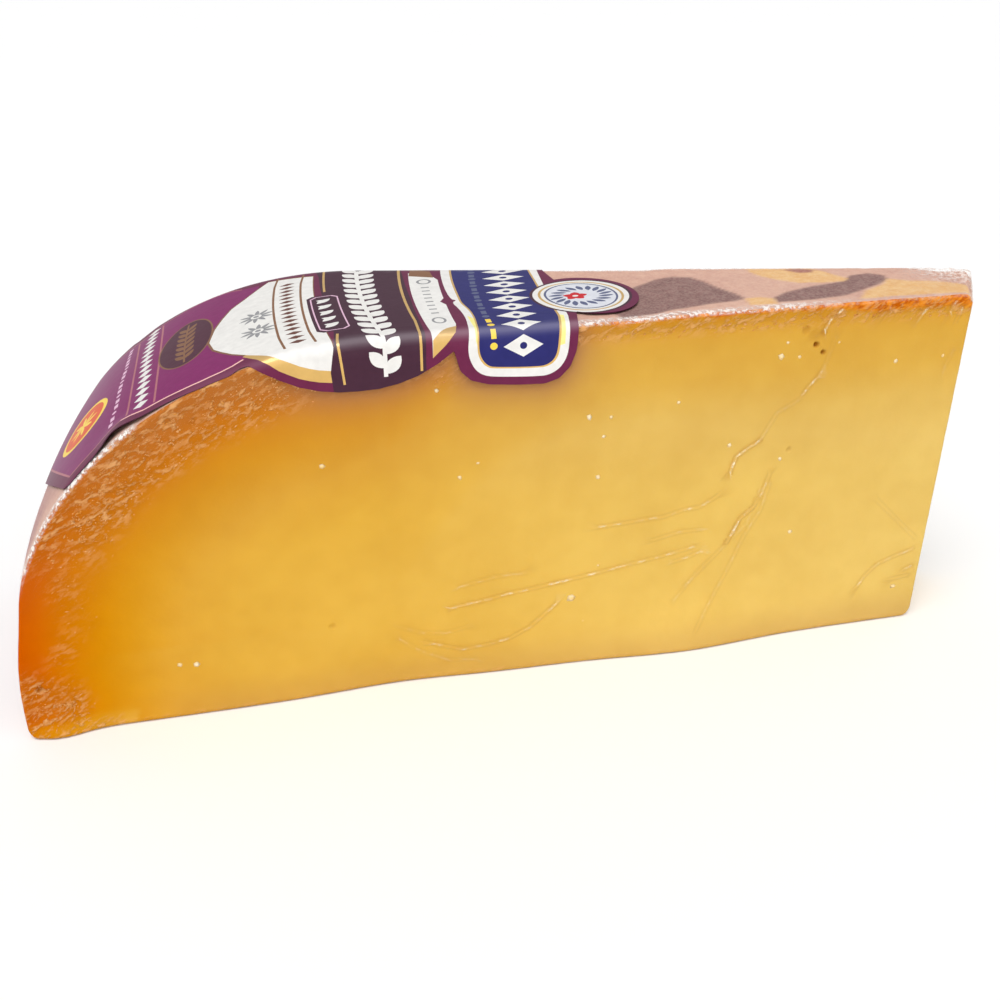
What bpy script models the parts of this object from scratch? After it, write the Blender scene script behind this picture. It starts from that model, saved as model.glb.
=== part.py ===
# Wedge of washed-rind cheese in clear film, with a printed paper label folded over its long edges.
# Metres, +Z up, resting on its flat cut base. The rind is at the -X end and the thin tip at the +X end.
import math

import bpy
from mathutils import Vector, noise
from mathutils.geometry import delaunay_2d_cdt

MM = 0.001

# Wheel that the wedge was cut from. The base is the cut that halves the wheel's thickness.
HEIGHT = 55.0 * MM
WHEEL_RADIUS = 197.0 * MM
WHEEL_AXIS_Y = 16.0 * MM
SHOULDER_DEPTH = 51.8 * MM
SHOULDER_FOOT = 12.0 * MM

# Ellipse that the rind follows near its foot, where it bulges most.
FOOT_BULGE = 0.95 * MM
FOOT_HEIGHT = 3.5 * MM
FOOT_DEPTH = 50.0 * MM
BLEND_LOW = 13.0 * MM
BLEND_HIGH = 28.0 * MM

# Plan of the wedge. The front face is the plane Y = 0, and X = 0 is the foot of the shoulder there.
FACE_LENGTH = 136.9 * MM
RIND_WIDTH = 44.2 * MM
BACK_SLOPE = -0.2155
TIP_SHIFT = 8.1 * MM
TIP_WIDTH = 12.3 * MM

# Rounding of the edges under the stretched film.
EDGE_RADIUS = 1.2 * MM
CORNER_RADIUS = 1.6 * MM

# Paper label.
GAP = 0.3 * MM
LABEL_THICKNESS = 0.3 * MM
LABEL_END_S = 5.5 * MM
LABEL_POINT_S = -5.0 * MM
LABEL_FRONT_RIGHT = 77.7 * MM
LABEL_BACK_RIGHT = 75.4 * MM
SEAL_X = 80.4 * MM
SEAL_Y = 11.8 * MM
SEAL_LONG = 9.1 * MM
SEAL_SHORT = 6.4 * MM
SEAL_TURN = 24.0
SEAL_REACH = 6.9 * MM
LIFT_HEIGHT = 0.9 * MM
LIFT_S = 17.0 * MM
LIFT_LENGTH = 5.0 * MM

# Depth that the surface is pressed in below the label, so that the label ends up level with it.
RECESS = GAP + LABEL_THICKNESS
RECESS_RAMP = 4.0 * MM
RIND_RAMP = 9.0 * MM
RECESS_MARGIN = 0.6 * MM

# Relief of the faces.
CRAG_DEPTH = 0.55 * MM
CRAG_BAND = 13.0 * MM
WAVE_DEPTH = 0.22 * MM
FILM_DEPTH = 0.3 * MM
LUMP_HEIGHT = 1.5 * MM
FOOT_OUT = 1.4 * MM
FOOT_IN = 1.0 * MM

# Mesh sizes.
FINE_STEP = 2.1 * MM
COARSE_STEP = 3.6 * MM
LABEL_STEP = 3.2 * MM
TOP_STEP = 4.0 * MM
BASE_STEP = 7.0 * MM
INNER_ROWS = 9

WHEEL_AXIS_X = math.sqrt(WHEEL_RADIUS ** 2 - WHEEL_AXIS_Y ** 2)


def smoothstep(low, high, value):
    t = min(max((value - low) / (high - low), 0.0), 1.0)
    return t * t * (3.0 - 2.0 * t)


def clear_scene():
    for thing in list(bpy.data.objects):
        bpy.data.objects.remove(thing, do_unlink=True)


def new_material(name, colour, roughness):
    material = bpy.data.materials.new(name)
    material.use_nodes = True
    shader = material.node_tree.nodes["Principled BSDF"]
    shader.inputs["Base Color"].default_value = (colour[0], colour[1], colour[2], 1.0)
    shader.inputs["Roughness"].default_value = roughness
    return material


# Outline of the front face as points (X, Z, normal X, normal Z, s). s is X along the flat top and
# goes on as arc length down the shoulder and the rind.

def rind_x(x, z):
    # X of the rind at the height z, where the shoulder's own ellipse has x.
    t = (z - FOOT_HEIGHT) / (HEIGHT - FOOT_HEIGHT)
    foot = FOOT_DEPTH * (1.0 - math.sqrt(max(0.0, 1.0 - t * t))) - FOOT_BULGE
    return foot + (x - foot) * smoothstep(BLEND_LOW, BLEND_HIGH, z)


def shoulder_table(count):
    rise = HEIGHT - SHOULDER_FOOT
    line = []
    for i in range(count + 1):
        angle = math.pi / 2 * (1.0 - i / count)
        x = SHOULDER_DEPTH * (1.0 - math.cos(angle))
        z = SHOULDER_FOOT + rise * math.sin(angle)
        line.append((rind_x(x, z), z))
    for i in range(1, 41):
        z = SHOULDER_FOOT + (CORNER_RADIUS - SHOULDER_FOOT) * i / 40
        line.append((rind_x(0.0, z), z))
    rows = []
    s = SHOULDER_DEPTH
    for i, (x, z) in enumerate(line):
        before = line[max(i - 1, 0)]
        after = line[min(i + 1, len(line) - 1)]
        if i:
            s -= math.hypot(x - before[0], z - before[1])
        way_x = after[0] - before[0]
        way_z = after[1] - before[1]
        size = math.hypot(way_x, way_z)
        rows.append((x, z, way_z / size, -way_x / size, s))
    rows[0] = (SHOULDER_DEPTH, HEIGHT, 0.0, 1.0, SHOULDER_DEPTH)
    return rows


SHOULDER = shoulder_table(240)


def outline_at(s):
    # Point of the top line or the shoulder at the length s.
    if s >= SHOULDER_DEPTH:
        return (s, HEIGHT, 0.0, 1.0)
    low = 0
    high = len(SHOULDER) - 1
    while high - low > 1:
        middle = (low + high) // 2
        if SHOULDER[middle][4] > s:
            low = middle
        else:
            high = middle
    a = SHOULDER[low]
    b = SHOULDER[high]
    t = (a[4] - s) / (a[4] - b[4])
    x, z, nx, nz = (a[i] + (b[i] - a[i]) * t for i in range(4))
    size = math.hypot(nx, nz)
    return (x, z, nx / size, nz / size)


RECESS_END = SEAL_X + SEAL_REACH + RECESS_MARGIN


def recess_at(s):
    turn = LABEL_POINT_S - RECESS_MARGIN
    rise = smoothstep(turn - RIND_RAMP, turn, s)
    fall = 1.0 - smoothstep(RECESS_END, RECESS_END + RECESS_RAMP, s)
    return RECESS * rise * fall


def arc_points(cx, cz, start, end, count):
    rows = []
    for i in range(count + 1):
        angle = math.radians(start + (end - start) * i / count)
        rows.append((cx + CORNER_RADIUS * math.cos(angle), cz + CORNER_RADIUS * math.sin(angle),
                     math.cos(angle), math.sin(angle)))
    return rows


def spread(start, end, step):
    count = max(2, int(round(abs(end - start) / step)))
    return [start + (end - start) * i / count for i in range(1, count)]


def outline_loop():
    # Closed loop from the tip's top corner over the shoulder, the rind and the base, and up the tip.
    r = CORNER_RADIUS
    loop = []
    for row in arc_points(FACE_LENGTH - r, HEIGHT - r, 0.0, 90.0, 3):
        loop.append(row + (FACE_LENGTH,))
    top = spread(FACE_LENGTH - r, RECESS_END + RECESS_RAMP, TOP_STEP)
    top += [RECESS_END + RECESS_RAMP * t for t in (1.0, 0.75, 0.5, 0.25, 0.0)]
    top += spread(RECESS_END, SHOULDER_DEPTH, TOP_STEP)
    for x in top:
        loop.append((x, HEIGHT, 0.0, 1.0, x))
    lowest = SHOULDER[-1][4]
    turn = LABEL_POINT_S - RECESS_MARGIN
    shoulder = [SHOULDER_DEPTH] + spread(SHOULDER_DEPTH, turn, 2.0 * MM)
    shoulder += [turn] + spread(turn, turn - RIND_RAMP, 1.5 * MM) + [turn - RIND_RAMP]
    shoulder += spread(turn - RIND_RAMP, lowest, 2.0 * MM) + [lowest]
    for s in shoulder:
        loop.append(outline_at(s) + (s,))
    heel = SHOULDER[-1][0] + r
    for row in arc_points(heel, r, 180.0, 270.0, 3)[1:]:
        loop.append(row + (-1.0,))
    for x in spread(heel, FACE_LENGTH - r, BASE_STEP):
        loop.append((x, 0.0, 0.0, -1.0, -1.0))
    for row in arc_points(FACE_LENGTH - r, r, 270.0, 360.0, 3):
        loop.append(row + (-1.0,))
    for z in spread(r, HEIGHT - r, TOP_STEP):
        loop.append((FACE_LENGTH, z, 1.0, 0.0, -1.0))
    shaped = []
    for x, z, nx, nz, s in loop:
        depth = recess_at(s)
        shaped.append((x - nx * depth, z - nz * depth, nx, nz, s))
    return shaped


def back_y(x):
    return RIND_WIDTH + BACK_SLOPE * x


def shift_x(x, y):
    # X of an outline point carried back to the depth y: round the wheel's axis at the rind, along the
    # slanted cut at the tip.
    near = min(x, SHOULDER_DEPTH)
    radius = math.hypot(WHEEL_AXIS_X - near, WHEEL_AXIS_Y)
    rind = WHEEL_AXIS_X - math.sqrt(radius ** 2 - (y - WHEEL_AXIS_Y) ** 2) - near
    tip = TIP_SHIFT * y / TIP_WIDTH
    blend = smoothstep(SHOULDER_DEPTH, FACE_LENGTH, x)
    straight = min(max((x - SHOULDER_DEPTH) / (FACE_LENGTH - SHOULDER_DEPTH), 0.0), 1.0)
    return x + rind * (1.0 - blend) + tip * straight


def swept_point(x, z, place):
    # place(back) gives Y from the Y of the back face at the point's own X.
    y = place(back_y(x))
    for _ in range(5):
        y = place(back_y(shift_x(x, y)))
    return Vector((shift_x(x, y), y, z))


def row_places():
    bevel = 1.0 - math.sqrt(0.5)
    rows = []
    for depth, inset in ((0.0, 1.0), (bevel, bevel), (1.0, 0.0)):
        rows.append((lambda back, d=depth: d * EDGE_RADIUS, inset * EDGE_RADIUS, 0.0))
    for i in range(1, INNER_ROWS + 1):
        t = i / (INNER_ROWS + 1)
        rows.append((lambda back, t=t: EDGE_RADIUS + t * (back - 2.0 * EDGE_RADIUS), 0.0,
                     min(1.0, 4.0 * t * (1.0 - t) * 1.6)))
    for depth, inset in ((1.0, 0.0), (bevel, bevel), (0.0, 1.0)):
        rows.append((lambda back, d=depth: back - d * EDGE_RADIUS, inset * EDGE_RADIUS, 0.0))
    return rows


def film_relief(point, s):
    # Shallow creases of the film on the rind and round the tip, always inwards.
    free = 1.0 - recess_at(s) / RECESS
    tip = smoothstep(FACE_LENGTH - 22.0 * MM, FACE_LENGTH, point.x)
    crease = abs(noise.noise(Vector((point.x, point.y * 2.0, point.z)) * 260.0))
    return FILM_DEPTH * free * (0.35 + 0.65 * tip) * min(1.0, crease * 2.2)


def rind_distance(x, z):
    # Rough distance of a point of a cut face from the rind.
    rise = HEIGHT - SHOULDER_FOOT
    if z < SHOULDER_FOOT:
        return x
    level = math.hypot((SHOULDER_DEPTH - x) / SHOULDER_DEPTH, (z - SHOULDER_FOOT) / rise)
    if x > SHOULDER_DEPTH:
        return HEIGHT - z
    return (1.0 - level) * rise


def face_relief(x, z, seed):
    # Crumbly crags by the rind and long shallow waves elsewhere, always inwards.
    place = Vector((x, seed, z))
    near = 1.0 - smoothstep(3.0 * MM, CRAG_BAND, rind_distance(x, z))
    crag = abs(noise.noise(place * 420.0)) + 0.5 * abs(noise.noise(place * 900.0))
    wave = 0.5 + 0.5 * noise.noise(place * 55.0)
    return WAVE_DEPTH * wave + CRAG_DEPTH * near * min(1.0, crag * 1.5)


def hump(value, middle, width):
    return math.exp(-((value - middle) / width) ** 2)


def foot_out(point):
    # How far the foot of the front face stands out: crumbs by the rind, and a slow wave along it.
    if point.y > 5.0 * MM:
        return 0.0
    lump = LUMP_HEIGHT * hump(point.x, 3.5 * MM, 4.0 * MM) * hump(point.z, 0.0, 3.0 * MM)
    wave = FOOT_OUT * hump(point.x, 97.0 * MM, 13.0 * MM) - FOOT_IN * hump(point.x, 52.0 * MM, 12.0 * MM)
    return lump + wave * hump(point.z, 0.0, 6.0 * MM)


def inside(polygon, x, y):
    hit = False
    last = polygon[-1]
    for here in polygon:
        if (here[1] > y) != (last[1] > y):
            cut = (last[0] - here[0]) * (y - here[1]) / (last[1] - here[1]) + here[0]
            if x < cut:
                hit = not hit
        last = here
    return hit


def nearest(polygon, x, y):
    best = 1.0
    last = polygon[-1]
    for here in polygon:
        ex = here[0] - last[0]
        ey = here[1] - last[1]
        size = ex * ex + ey * ey
        t = 0.0 if size == 0.0 else ((x - last[0]) * ex + (y - last[1]) * ey) / size
        t = min(max(t, 0.0), 1.0)
        best = min(best, math.hypot(x - last[0] - t * ex, y - last[1] - t * ey))
        last = here
    return best


def grid_points(polygon, step, keep):
    low_x = min(p[0] for p in polygon)
    high_x = max(p[0] for p in polygon)
    low_y = min(p[1] for p in polygon)
    high_y = max(p[1] for p in polygon)
    points = []
    row = 0
    y = low_y + step * 0.5
    while y < high_y:
        x = low_x + step * (0.5 if row % 2 else 1.0)
        while x < high_x:
            if keep(x, y) and inside(polygon, x, y) and nearest(polygon, x, y) > step * 0.55:
                points.append((x, y))
            x += step
        y += step * 0.866
        row += 1
    return points


def triangles_inside(polygon, points, edges):
    # Constrained triangulation; keeps the triangles whose middle is inside the polygon.
    count = len(polygon)
    coords = [Vector((p[0], p[1])) for p in list(polygon) + points]
    borders = [(i, (i + 1) % count) for i in range(count)] + edges
    result = delaunay_2d_cdt(coords, borders, [], 0, 1e-7)
    verts = [(v.x, v.y) for v in result[0]]
    faces = []
    for face in result[2]:
        mx = sum(verts[i][0] for i in face) / 3.0
        my = sum(verts[i][1] for i in face) / 3.0
        if inside(polygon, mx, my):
            faces.append(tuple(face))
    return verts, faces, result[3]


def signed_volume(verts, faces):
    total = 0.0
    for face in faces:
        a, b, c = (verts[i] for i in face)
        total += a.dot(b.cross(c)) / 6.0
    return total


def make_object(name, verts, faces, material, origin):
    if signed_volume(verts, faces) < 0.0:
        faces = [tuple(reversed(face)) for face in faces]
    mesh = bpy.data.meshes.new(name)
    mesh.from_pydata([tuple(v - origin) for v in verts], [], faces)
    mesh.materials.append(material)
    mesh.validate()
    thing = bpy.data.objects.new(name, mesh)
    bpy.context.scene.collection.objects.link(thing)
    return thing


def add_quad(faces, a, b, c, d):
    faces.append((a, b, c))
    faces.append((a, c, d))


def cheese_mesh():
    loop = outline_loop()
    rows = row_places()
    count = len(loop)
    verts = []
    for place, inset, weight in rows:
        for x, z, nx, nz, s in loop:
            point = swept_point(x - nx * inset, z - nz * inset, place)
            if weight > 0.0 and nz > -0.5:
                depth = film_relief(point, s) * weight
                point.x -= nx * depth
                point.z -= nz * depth
            verts.append(point)
    faces = []
    for j in range(len(rows) - 1):
        for k in range(count):
            n = (k + 1) % count
            add_quad(faces, j * count + k, j * count + n, (j + 1) * count + n, (j + 1) * count + k)
    for first, seed, side in ((0, 0.0, 1.0), ((len(rows) - 1) * count, 0.7, -1.0)):
        ring = [(verts[first + k].x, verts[first + k].z) for k in range(count)]
        fine = grid_points(ring, FINE_STEP, lambda x, z: rind_distance(x, z) < CRAG_BAND)
        coarse = grid_points(ring, COARSE_STEP, lambda x, z: rind_distance(x, z) > CRAG_BAND + FINE_STEP)
        flat, cap, origins = triangles_inside(ring, fine + coarse, [])
        index = []
        for i, (x, z) in enumerate(flat):
            known = [o for o in origins[i] if o < count]
            if known:
                index.append(first + known[0])
                continue
            depth = face_relief(x, z, seed) * smoothstep(0.0, 2.0 * MM, nearest(ring, x, z))
            y = depth if side > 0.0 else back_y(x) - depth
            index.append(len(verts))
            verts.append(Vector((x, y, z)))
        for face in cap:
            turned = tuple(index[i] for i in face)
            faces.append(turned if side < 0.0 else tuple(reversed(turned)))
    for point in verts:
        point.y -= foot_out(point)
    return verts, faces


# The label is drawn flat in (s, p). p is the distance across from the front edge, below zero on the
# front flap, and above the width of the wedge on the back flap.

FOLD_HALF = (EDGE_RADIUS + GAP + LABEL_THICKNESS / 2) * math.pi / 4


def width_at(s):
    x = outline_at(s)[0]
    y = back_y(x)
    for _ in range(4):
        y = back_y(shift_x(x, y))
    return y


def label_side():
    # Edge of the label by the front edge, from the wing's end to the right corner, as (s, p).
    rows = ((5.5, 0.8), (6.7, 0.5), (9.0, 0.5), (11.5, 0.6), (13.5, 0.9), (15.0, 1.8), (16.4, 1.7),
            (18.0, 1.2), (19.4, 0.9), (20.9, 0.7), (22.3, 0.5), (23.8, 0.4), (25.1, 0.2), (26.5, 0.1),
            (27.8, 0.0), (29.1, -0.1), (30.5, -0.1), (31.9, -0.1), (32.7, 0.1), (33.4, 0.35), (34.1, 0.4),
            (34.5, 0.3), (35.0, -0.3), (35.7, -1.1), (36.5, -1.9), (37.5, -2.8), (38.6, -3.6),
            (39.7, -4.4), (41.0, -5.1), (42.3, -5.6), (43.6, -6.0), (45.0, -6.3), (46.4, -6.5),
            (47.9, -6.6), (49.3, -6.65), (50.8, -6.6), (52.2, -6.4), (53.5, -6.1), (54.9, -5.7),
            (56.2, -5.2), (57.6, -4.5), (58.9, -3.7), (60.2, -2.8), (60.9, -2.2), (61.15, -2.6),
            (61.2, -3.3), (61.3, -4.1), (61.7, -5.1), (62.3, -5.9), (63.1, -6.5), (64.2, -7.0),
            (65.5, -7.25), (66.9, -7.4), (69.7, -7.6), (72.4, -7.8), (73.2, -7.8), (74.2, -7.6),
            (75.2, -7.2), (76.0, -6.6), (76.7, -5.7), (77.2, -4.7), (77.5, -3.6), (77.65, -2.4))
    return [(s * MM, p * MM) for s, p in rows]


def label_outline():
    front = label_side()
    back = [(s, width_at(s) - p) for s, p in front]
    back[-1] = (LABEL_BACK_RIGHT, back[-1][1])
    right = []
    for x, y in ((LABEL_FRONT_RIGHT, -1.2 * MM), (LABEL_FRONT_RIGHT + 0.1 * MM, 1.2 * MM)):
        right.append((x, y))
    turn = math.radians(SEAL_TURN)
    steps = 22
    for i in range(steps + 1):
        angle = math.radians(-51.0 + 231.0 * i / steps)
        long = SEAL_LONG * math.cos(angle)
        short = SEAL_SHORT * math.sin(angle)
        right.append((SEAL_X + long * math.sin(turn) + short * math.cos(turn),
                      SEAL_Y - long * math.cos(turn) + short * math.sin(turn)))
    right.append((LABEL_BACK_RIGHT, width_at(LABEL_BACK_RIGHT) - 1.2 * MM))
    right.append((LABEL_BACK_RIGHT, width_at(LABEL_BACK_RIGHT) + 1.4 * MM))
    point = (LABEL_POINT_S, width_at(LABEL_POINT_S) / 2)
    left = []
    for end, after in ((back[0], point), (point, front[0])):
        left += [(end[0] + (after[0] - end[0]) * i / 6, end[1] + (after[1] - end[1]) * i / 6) for i in range(6)]
    return front + right + list(reversed(back)) + left[1:]


def fine_outline(outline):
    # Splits long sides, and steep ones more finely, so that every side bends round a fold.
    rows = []
    for i, here in enumerate(outline):
        after = outline[(i + 1) % len(outline)]
        across = abs(after[1] - here[1]) / (FOLD_HALF * 0.5)
        if min(here[1], after[1]) > 3.0 * FOLD_HALF and max(here[1], after[1]) < width_at(here[0]) - 3.0 * FOLD_HALF:
            across = 0.0
        pieces = max(1, math.ceil(across), math.ceil(math.dist(here, after) / (2.2 * MM)))
        for k in range(pieces):
            t = k / pieces
            rows.append((here[0] + (after[0] - here[0]) * t, here[1] + (after[1] - here[1]) * t))
    return rows


def label_lift(s, p):
    # The front flap of the wing stands off the shoulder where it crosses the edge.
    along = math.exp(-((s - LIFT_S) / LIFT_LENGTH) ** 2)
    return LIFT_HEIGHT * along * (1.0 - smoothstep(0.0, 7.0 * MM, p))


def label_point(s, p, offset):
    # Wraps the flat position onto the wedge, at the height offset above its surface.
    x, z, nx, nz = outline_at(s)
    x -= nx * RECESS
    z -= nz * RECESS
    offset += label_lift(s, p)
    width = width_at(s)
    from_back = p > width / 2
    reach = width - p if from_back else p
    if reach >= FOLD_HALF:
        inset = -offset
        t = (reach - FOLD_HALF) / (width - 2.0 * FOLD_HALF)
        depth = EDGE_RADIUS
    elif reach > -FOLD_HALF:
        angle = (reach + FOLD_HALF) / (2.0 * FOLD_HALF) * math.pi / 2
        inset = EDGE_RADIUS - (EDGE_RADIUS + offset) * math.sin(angle)
        depth = EDGE_RADIUS - (EDGE_RADIUS + offset) * math.cos(angle)
        t = 0.0
    else:
        inset = EDGE_RADIUS - reach - FOLD_HALF
        depth = -offset
        t = 0.0

    def place(back):
        inner = depth + t * (back - 2.0 * EDGE_RADIUS)
        return back - inner if from_back else inner

    return swept_point(x - nx * inset, z - nz * inset, place)


def label_mesh():
    outline = fine_outline(label_outline())
    points = grid_points(outline, LABEL_STEP, lambda s, p: FOLD_HALF * 1.4 < p < width_at(s) - FOLD_HALF * 1.4)
    edges = []
    base = len(outline)
    low = LABEL_END_S
    columns = int((LABEL_BACK_RIGHT - low) / (LABEL_STEP * 0.8))
    for side in (0, 1):
        for level in (-1.0, -0.33, 0.33, 1.0):
            last = None
            for i in range(columns):
                s = low + (LABEL_BACK_RIGHT - low) * (i + 0.5) / columns
                p = level * FOLD_HALF if side == 0 else width_at(s) - level * FOLD_HALF
                if not inside(outline, s, p) or nearest(outline, s, p) < 0.25 * MM:
                    last = None
                    continue
                points.append((s, p))
                here = base + len(points) - 1
                if last is not None:
                    edges.append((last, here))
                last = here
    for s, p in grid_points(outline, LABEL_STEP, lambda s, p: p < -FOLD_HALF * 1.6):
        points.append((s, p))
    for s, p in grid_points(outline, LABEL_STEP, lambda s, p: p > width_at(s) + FOLD_HALF * 1.6):
        points.append((s, p))
    flat, faces, _ = triangles_inside(outline, points, edges)
    count = len(flat)
    verts = [label_point(s, p, GAP + LABEL_THICKNESS) for s, p in flat]
    verts += [label_point(s, p, GAP) for s, p in flat]
    sides = {}
    for face in faces:
        for i in range(3):
            edge = (face[i], face[(i + 1) % 3])
            if (edge[1], edge[0]) in sides:
                del sides[(edge[1], edge[0])]
            else:
                sides[edge] = True
    shell = [face for face in faces]
    shell += [tuple(i + count for i in reversed(face)) for face in faces]
    for a, b in sides:
        add_quad(shell, b, a, a + count, b + count)
    return verts, shell


def main():
    clear_scene()
    cheese_verts, cheese_faces = cheese_mesh()
    label_verts, label_faces = label_mesh()
    everything = cheese_verts + label_verts
    low = Vector([min(v[i] for v in everything) for i in range(3)])
    high = Vector([max(v[i] for v in everything) for i in range(3)])
    origin = Vector(((low.x + high.x) / 2, (low.y + high.y) / 2, low.z))
    cheese = new_material("cheese", (0.76, 0.42, 0.09), 0.45)
    label = new_material("label", (0.22, 0.04, 0.12), 0.4)
    make_object("cheese", cheese_verts, cheese_faces, cheese, origin)
    make_object("label", label_verts, label_faces, label, origin)
    print("origin in the face frame, mm", [round(v / MM, 3) for v in origin])
    for name in ("cheese", "label"):
        print(name, "triangles", len(bpy.data.objects[name].data.polygons))


main()
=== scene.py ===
"""A wedge of washed-rind cheese in clear film, with a printed paper label folded over its long edges.

Lengths inside the functions are in millimetres, in the frame of the front cut face: X runs along the
foot of that face from the widest line of the rind to the tip, Y goes back, Z goes up.
"""

import math
import random

import bpy
import numpy as np
from mathutils import Matrix, Vector, noise
from mathutils.geometry import delaunay_2d_cdt


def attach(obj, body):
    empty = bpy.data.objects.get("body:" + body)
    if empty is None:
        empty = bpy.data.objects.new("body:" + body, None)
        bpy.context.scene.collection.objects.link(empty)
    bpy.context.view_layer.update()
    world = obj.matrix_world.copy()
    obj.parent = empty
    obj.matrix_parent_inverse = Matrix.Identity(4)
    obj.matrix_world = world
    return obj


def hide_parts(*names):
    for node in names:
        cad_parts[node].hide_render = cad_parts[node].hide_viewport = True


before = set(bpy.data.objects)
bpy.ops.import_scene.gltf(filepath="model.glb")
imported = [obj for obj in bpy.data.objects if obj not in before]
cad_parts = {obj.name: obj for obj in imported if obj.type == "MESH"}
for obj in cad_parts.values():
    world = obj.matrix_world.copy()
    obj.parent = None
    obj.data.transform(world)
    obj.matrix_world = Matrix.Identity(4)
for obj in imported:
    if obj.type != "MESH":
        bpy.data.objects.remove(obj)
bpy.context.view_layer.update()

bl_info = {
    "name": "Cheese wedge",
    "version": (1, 0, 0),
    "blender": (4, 5, 0),
    "location": "3D View > Sidebar > Cheese wedge",
    "description": "Builds a film-wrapped wedge of cheese with a folded paper label",
    "category": "Add Mesh",
}

MM = 0.001

# The row frame's origin, in the frame of the front cut face.
FACE_ORIGIN = np.array((71.638, 21.289, 0.0))

# Zones of the wedge's outline.
TIP, TOP, RIND, BASE = range(4)

# Radius of the outline's corners at the tip and the base.
CORNER = 1.6

# The rind's lower part: height of its widest line, how far an arc from there would lean in, and the
# heights between which it turns into the shoulder.
WIDEST = 3.5
LEAN = 50.0
LEAN_BLEND = (13.0, 28.0)

# Radius of the wedge's long edges under each skin.
PASTE_EDGE = 0.4
FILM_EDGE = 0.75
LABEL_EDGE = 1.2

# How far the film lies below the wedge's surface, and the label's outer side above it.
FILM_DEPTH = 0.04
LABEL_RISE = 0.20

# How far the wedge is pressed in below the label, and where the label starts and ends along the outline.
LABEL_RECESS = 0.25
LABEL_POINT = -5.0
LABEL_END = 87.9
# Length along the outline that stands for every place the label doesn't reach.
OFF_LABEL = -50.0


# Properties

def length(name, description, default):
    """A length whose default is given in mm."""
    return bpy.props.FloatProperty(name=name, description=description, default=default * MM,
                                   unit="LENGTH", min=0.0, precision=5)


def colour(name, description, default):
    """A colour whose default is given as sRGB values from 0 to 255."""
    return bpy.props.FloatVectorProperty(name=name, description=description, default=linear(default),
                                         subtype="COLOR", size=3, min=0.0, max=1.0)


def linear(code):
    """Linear colour of a sRGB colour given as 0 to 255."""
    values = []
    for part in code:
        part /= 255.0
        values.append(part / 12.92 if part <= 0.04045 else ((part + 0.055) / 1.055) ** 2.4)
    return tuple(values)


class WedgeSizes(bpy.types.PropertyGroup):
    height: length("Height", "Height of the flat top above the base", 55.0)
    wheel_radius: length("Wheel radius", "Radius of the wheel that the wedge was cut from", 197.0)
    axis_depth: length("Axis depth", "How far the wheel's axis lies behind the front face", 16.0)
    shoulder: length("Shoulder", "How far the rounding of the rind reaches over the top", 51.8)
    shoulder_foot: length("Shoulder foot", "Height at which the rounding of the shoulder ends", 12.0)
    foot_bulge: length("Foot bulge", "How far the foot of the rind stands out", 0.95)
    face_length: length("Face length", "Length of the front cut face", 136.9)
    rind_width: length("Rind width", "Distance between the cut faces at the rind", 44.2)
    back_slope: bpy.props.FloatProperty(name="Back slope", description="Slope of the back face in plan",
                                        default=-0.2155)
    tip_shift: length("Tip shift", "How far the tip's slanted cut runs along the wedge", 8.1)
    tip_width: length("Tip width", "How wide the tip's slanted cut is", 12.3)
    paste_gap: length("Film gap", "How far the cheese lies below the film", 0.16)


class PasteLook(bpy.types.PropertyGroup):
    heart: colour("Heart", "Pale paste far from the rind", (224, 190, 104))
    middle: colour("Middle", "Paste half way to the rind", (220, 175, 72))
    near_rind: colour("Near the rind", "Darker paste by the rind", (208, 138, 8))
    under_rind: colour("Under the rind", "Deep orange paste right under the rind", (196, 84, 0))
    crumb: colour("Crumbs", "Pale crumbs and flakes by the edges", (228, 172, 112))
    rind: colour("Rind", "Pinkish ground of the rind", (212, 168, 150))
    rind_dark: colour("Rind fields", "Mauve fields of the rind's coat", (142, 106, 102))
    rind_pale: colour("Rind streaks", "Peach streaks of the rind's coat", (226, 174, 108))
    crag_depth: length("Crag depth", "Depth of the crags by the rind", 0.45)


class LabelLook(bpy.types.PropertyGroup):
    thickness: length("Thickness", "Thickness of the paper", 0.12)
    rim: colour("Rim", "Purple rim all round the label", (110, 42, 74))
    wing: colour("Wing", "Purple of the left wing", (133, 42, 102))
    band: colour("Band", "Dark purple band across the middle", (74, 45, 60))
    panel: colour("Panel", "White of the panels", (237, 235, 231))
    plaque: colour("Plaque", "Dark blue of the plaque", (48, 48, 110))
    gold: colour("Gold", "Gold of the lines and corners", (222, 180, 104))


class StageLook(bpy.types.PropertyGroup):
    floor: colour("Floor", "Colour of the floor", (252, 252, 252))
    lens: bpy.props.FloatProperty(name="Lens", default=38.69,
                                  description="Focal length on a 36 mm sensor, in mm")
    yaw: bpy.props.FloatProperty(name="Yaw", description="How far the camera turns to the tip",
                                 subtype="ANGLE", default=0.228462)
    pitch: bpy.props.FloatProperty(name="Pitch", description="How far the camera looks down",
                                   subtype="ANGLE", default=0.478267)


# Form of the wedge

def smooth(low, high, value):
    """0 up to low, 1 from high on, with soft ends."""
    t = np.clip((value - low) / (high - low), 0.0, 1.0)
    return t * t * (3.0 - 2.0 * t)


def noise_at(points, size, seed=0.0):
    """Noise from about -1 to 1 whose features have that size in mm."""
    return np.array([noise.noise(p) for p in (points / size + seed).tolist()])


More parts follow.
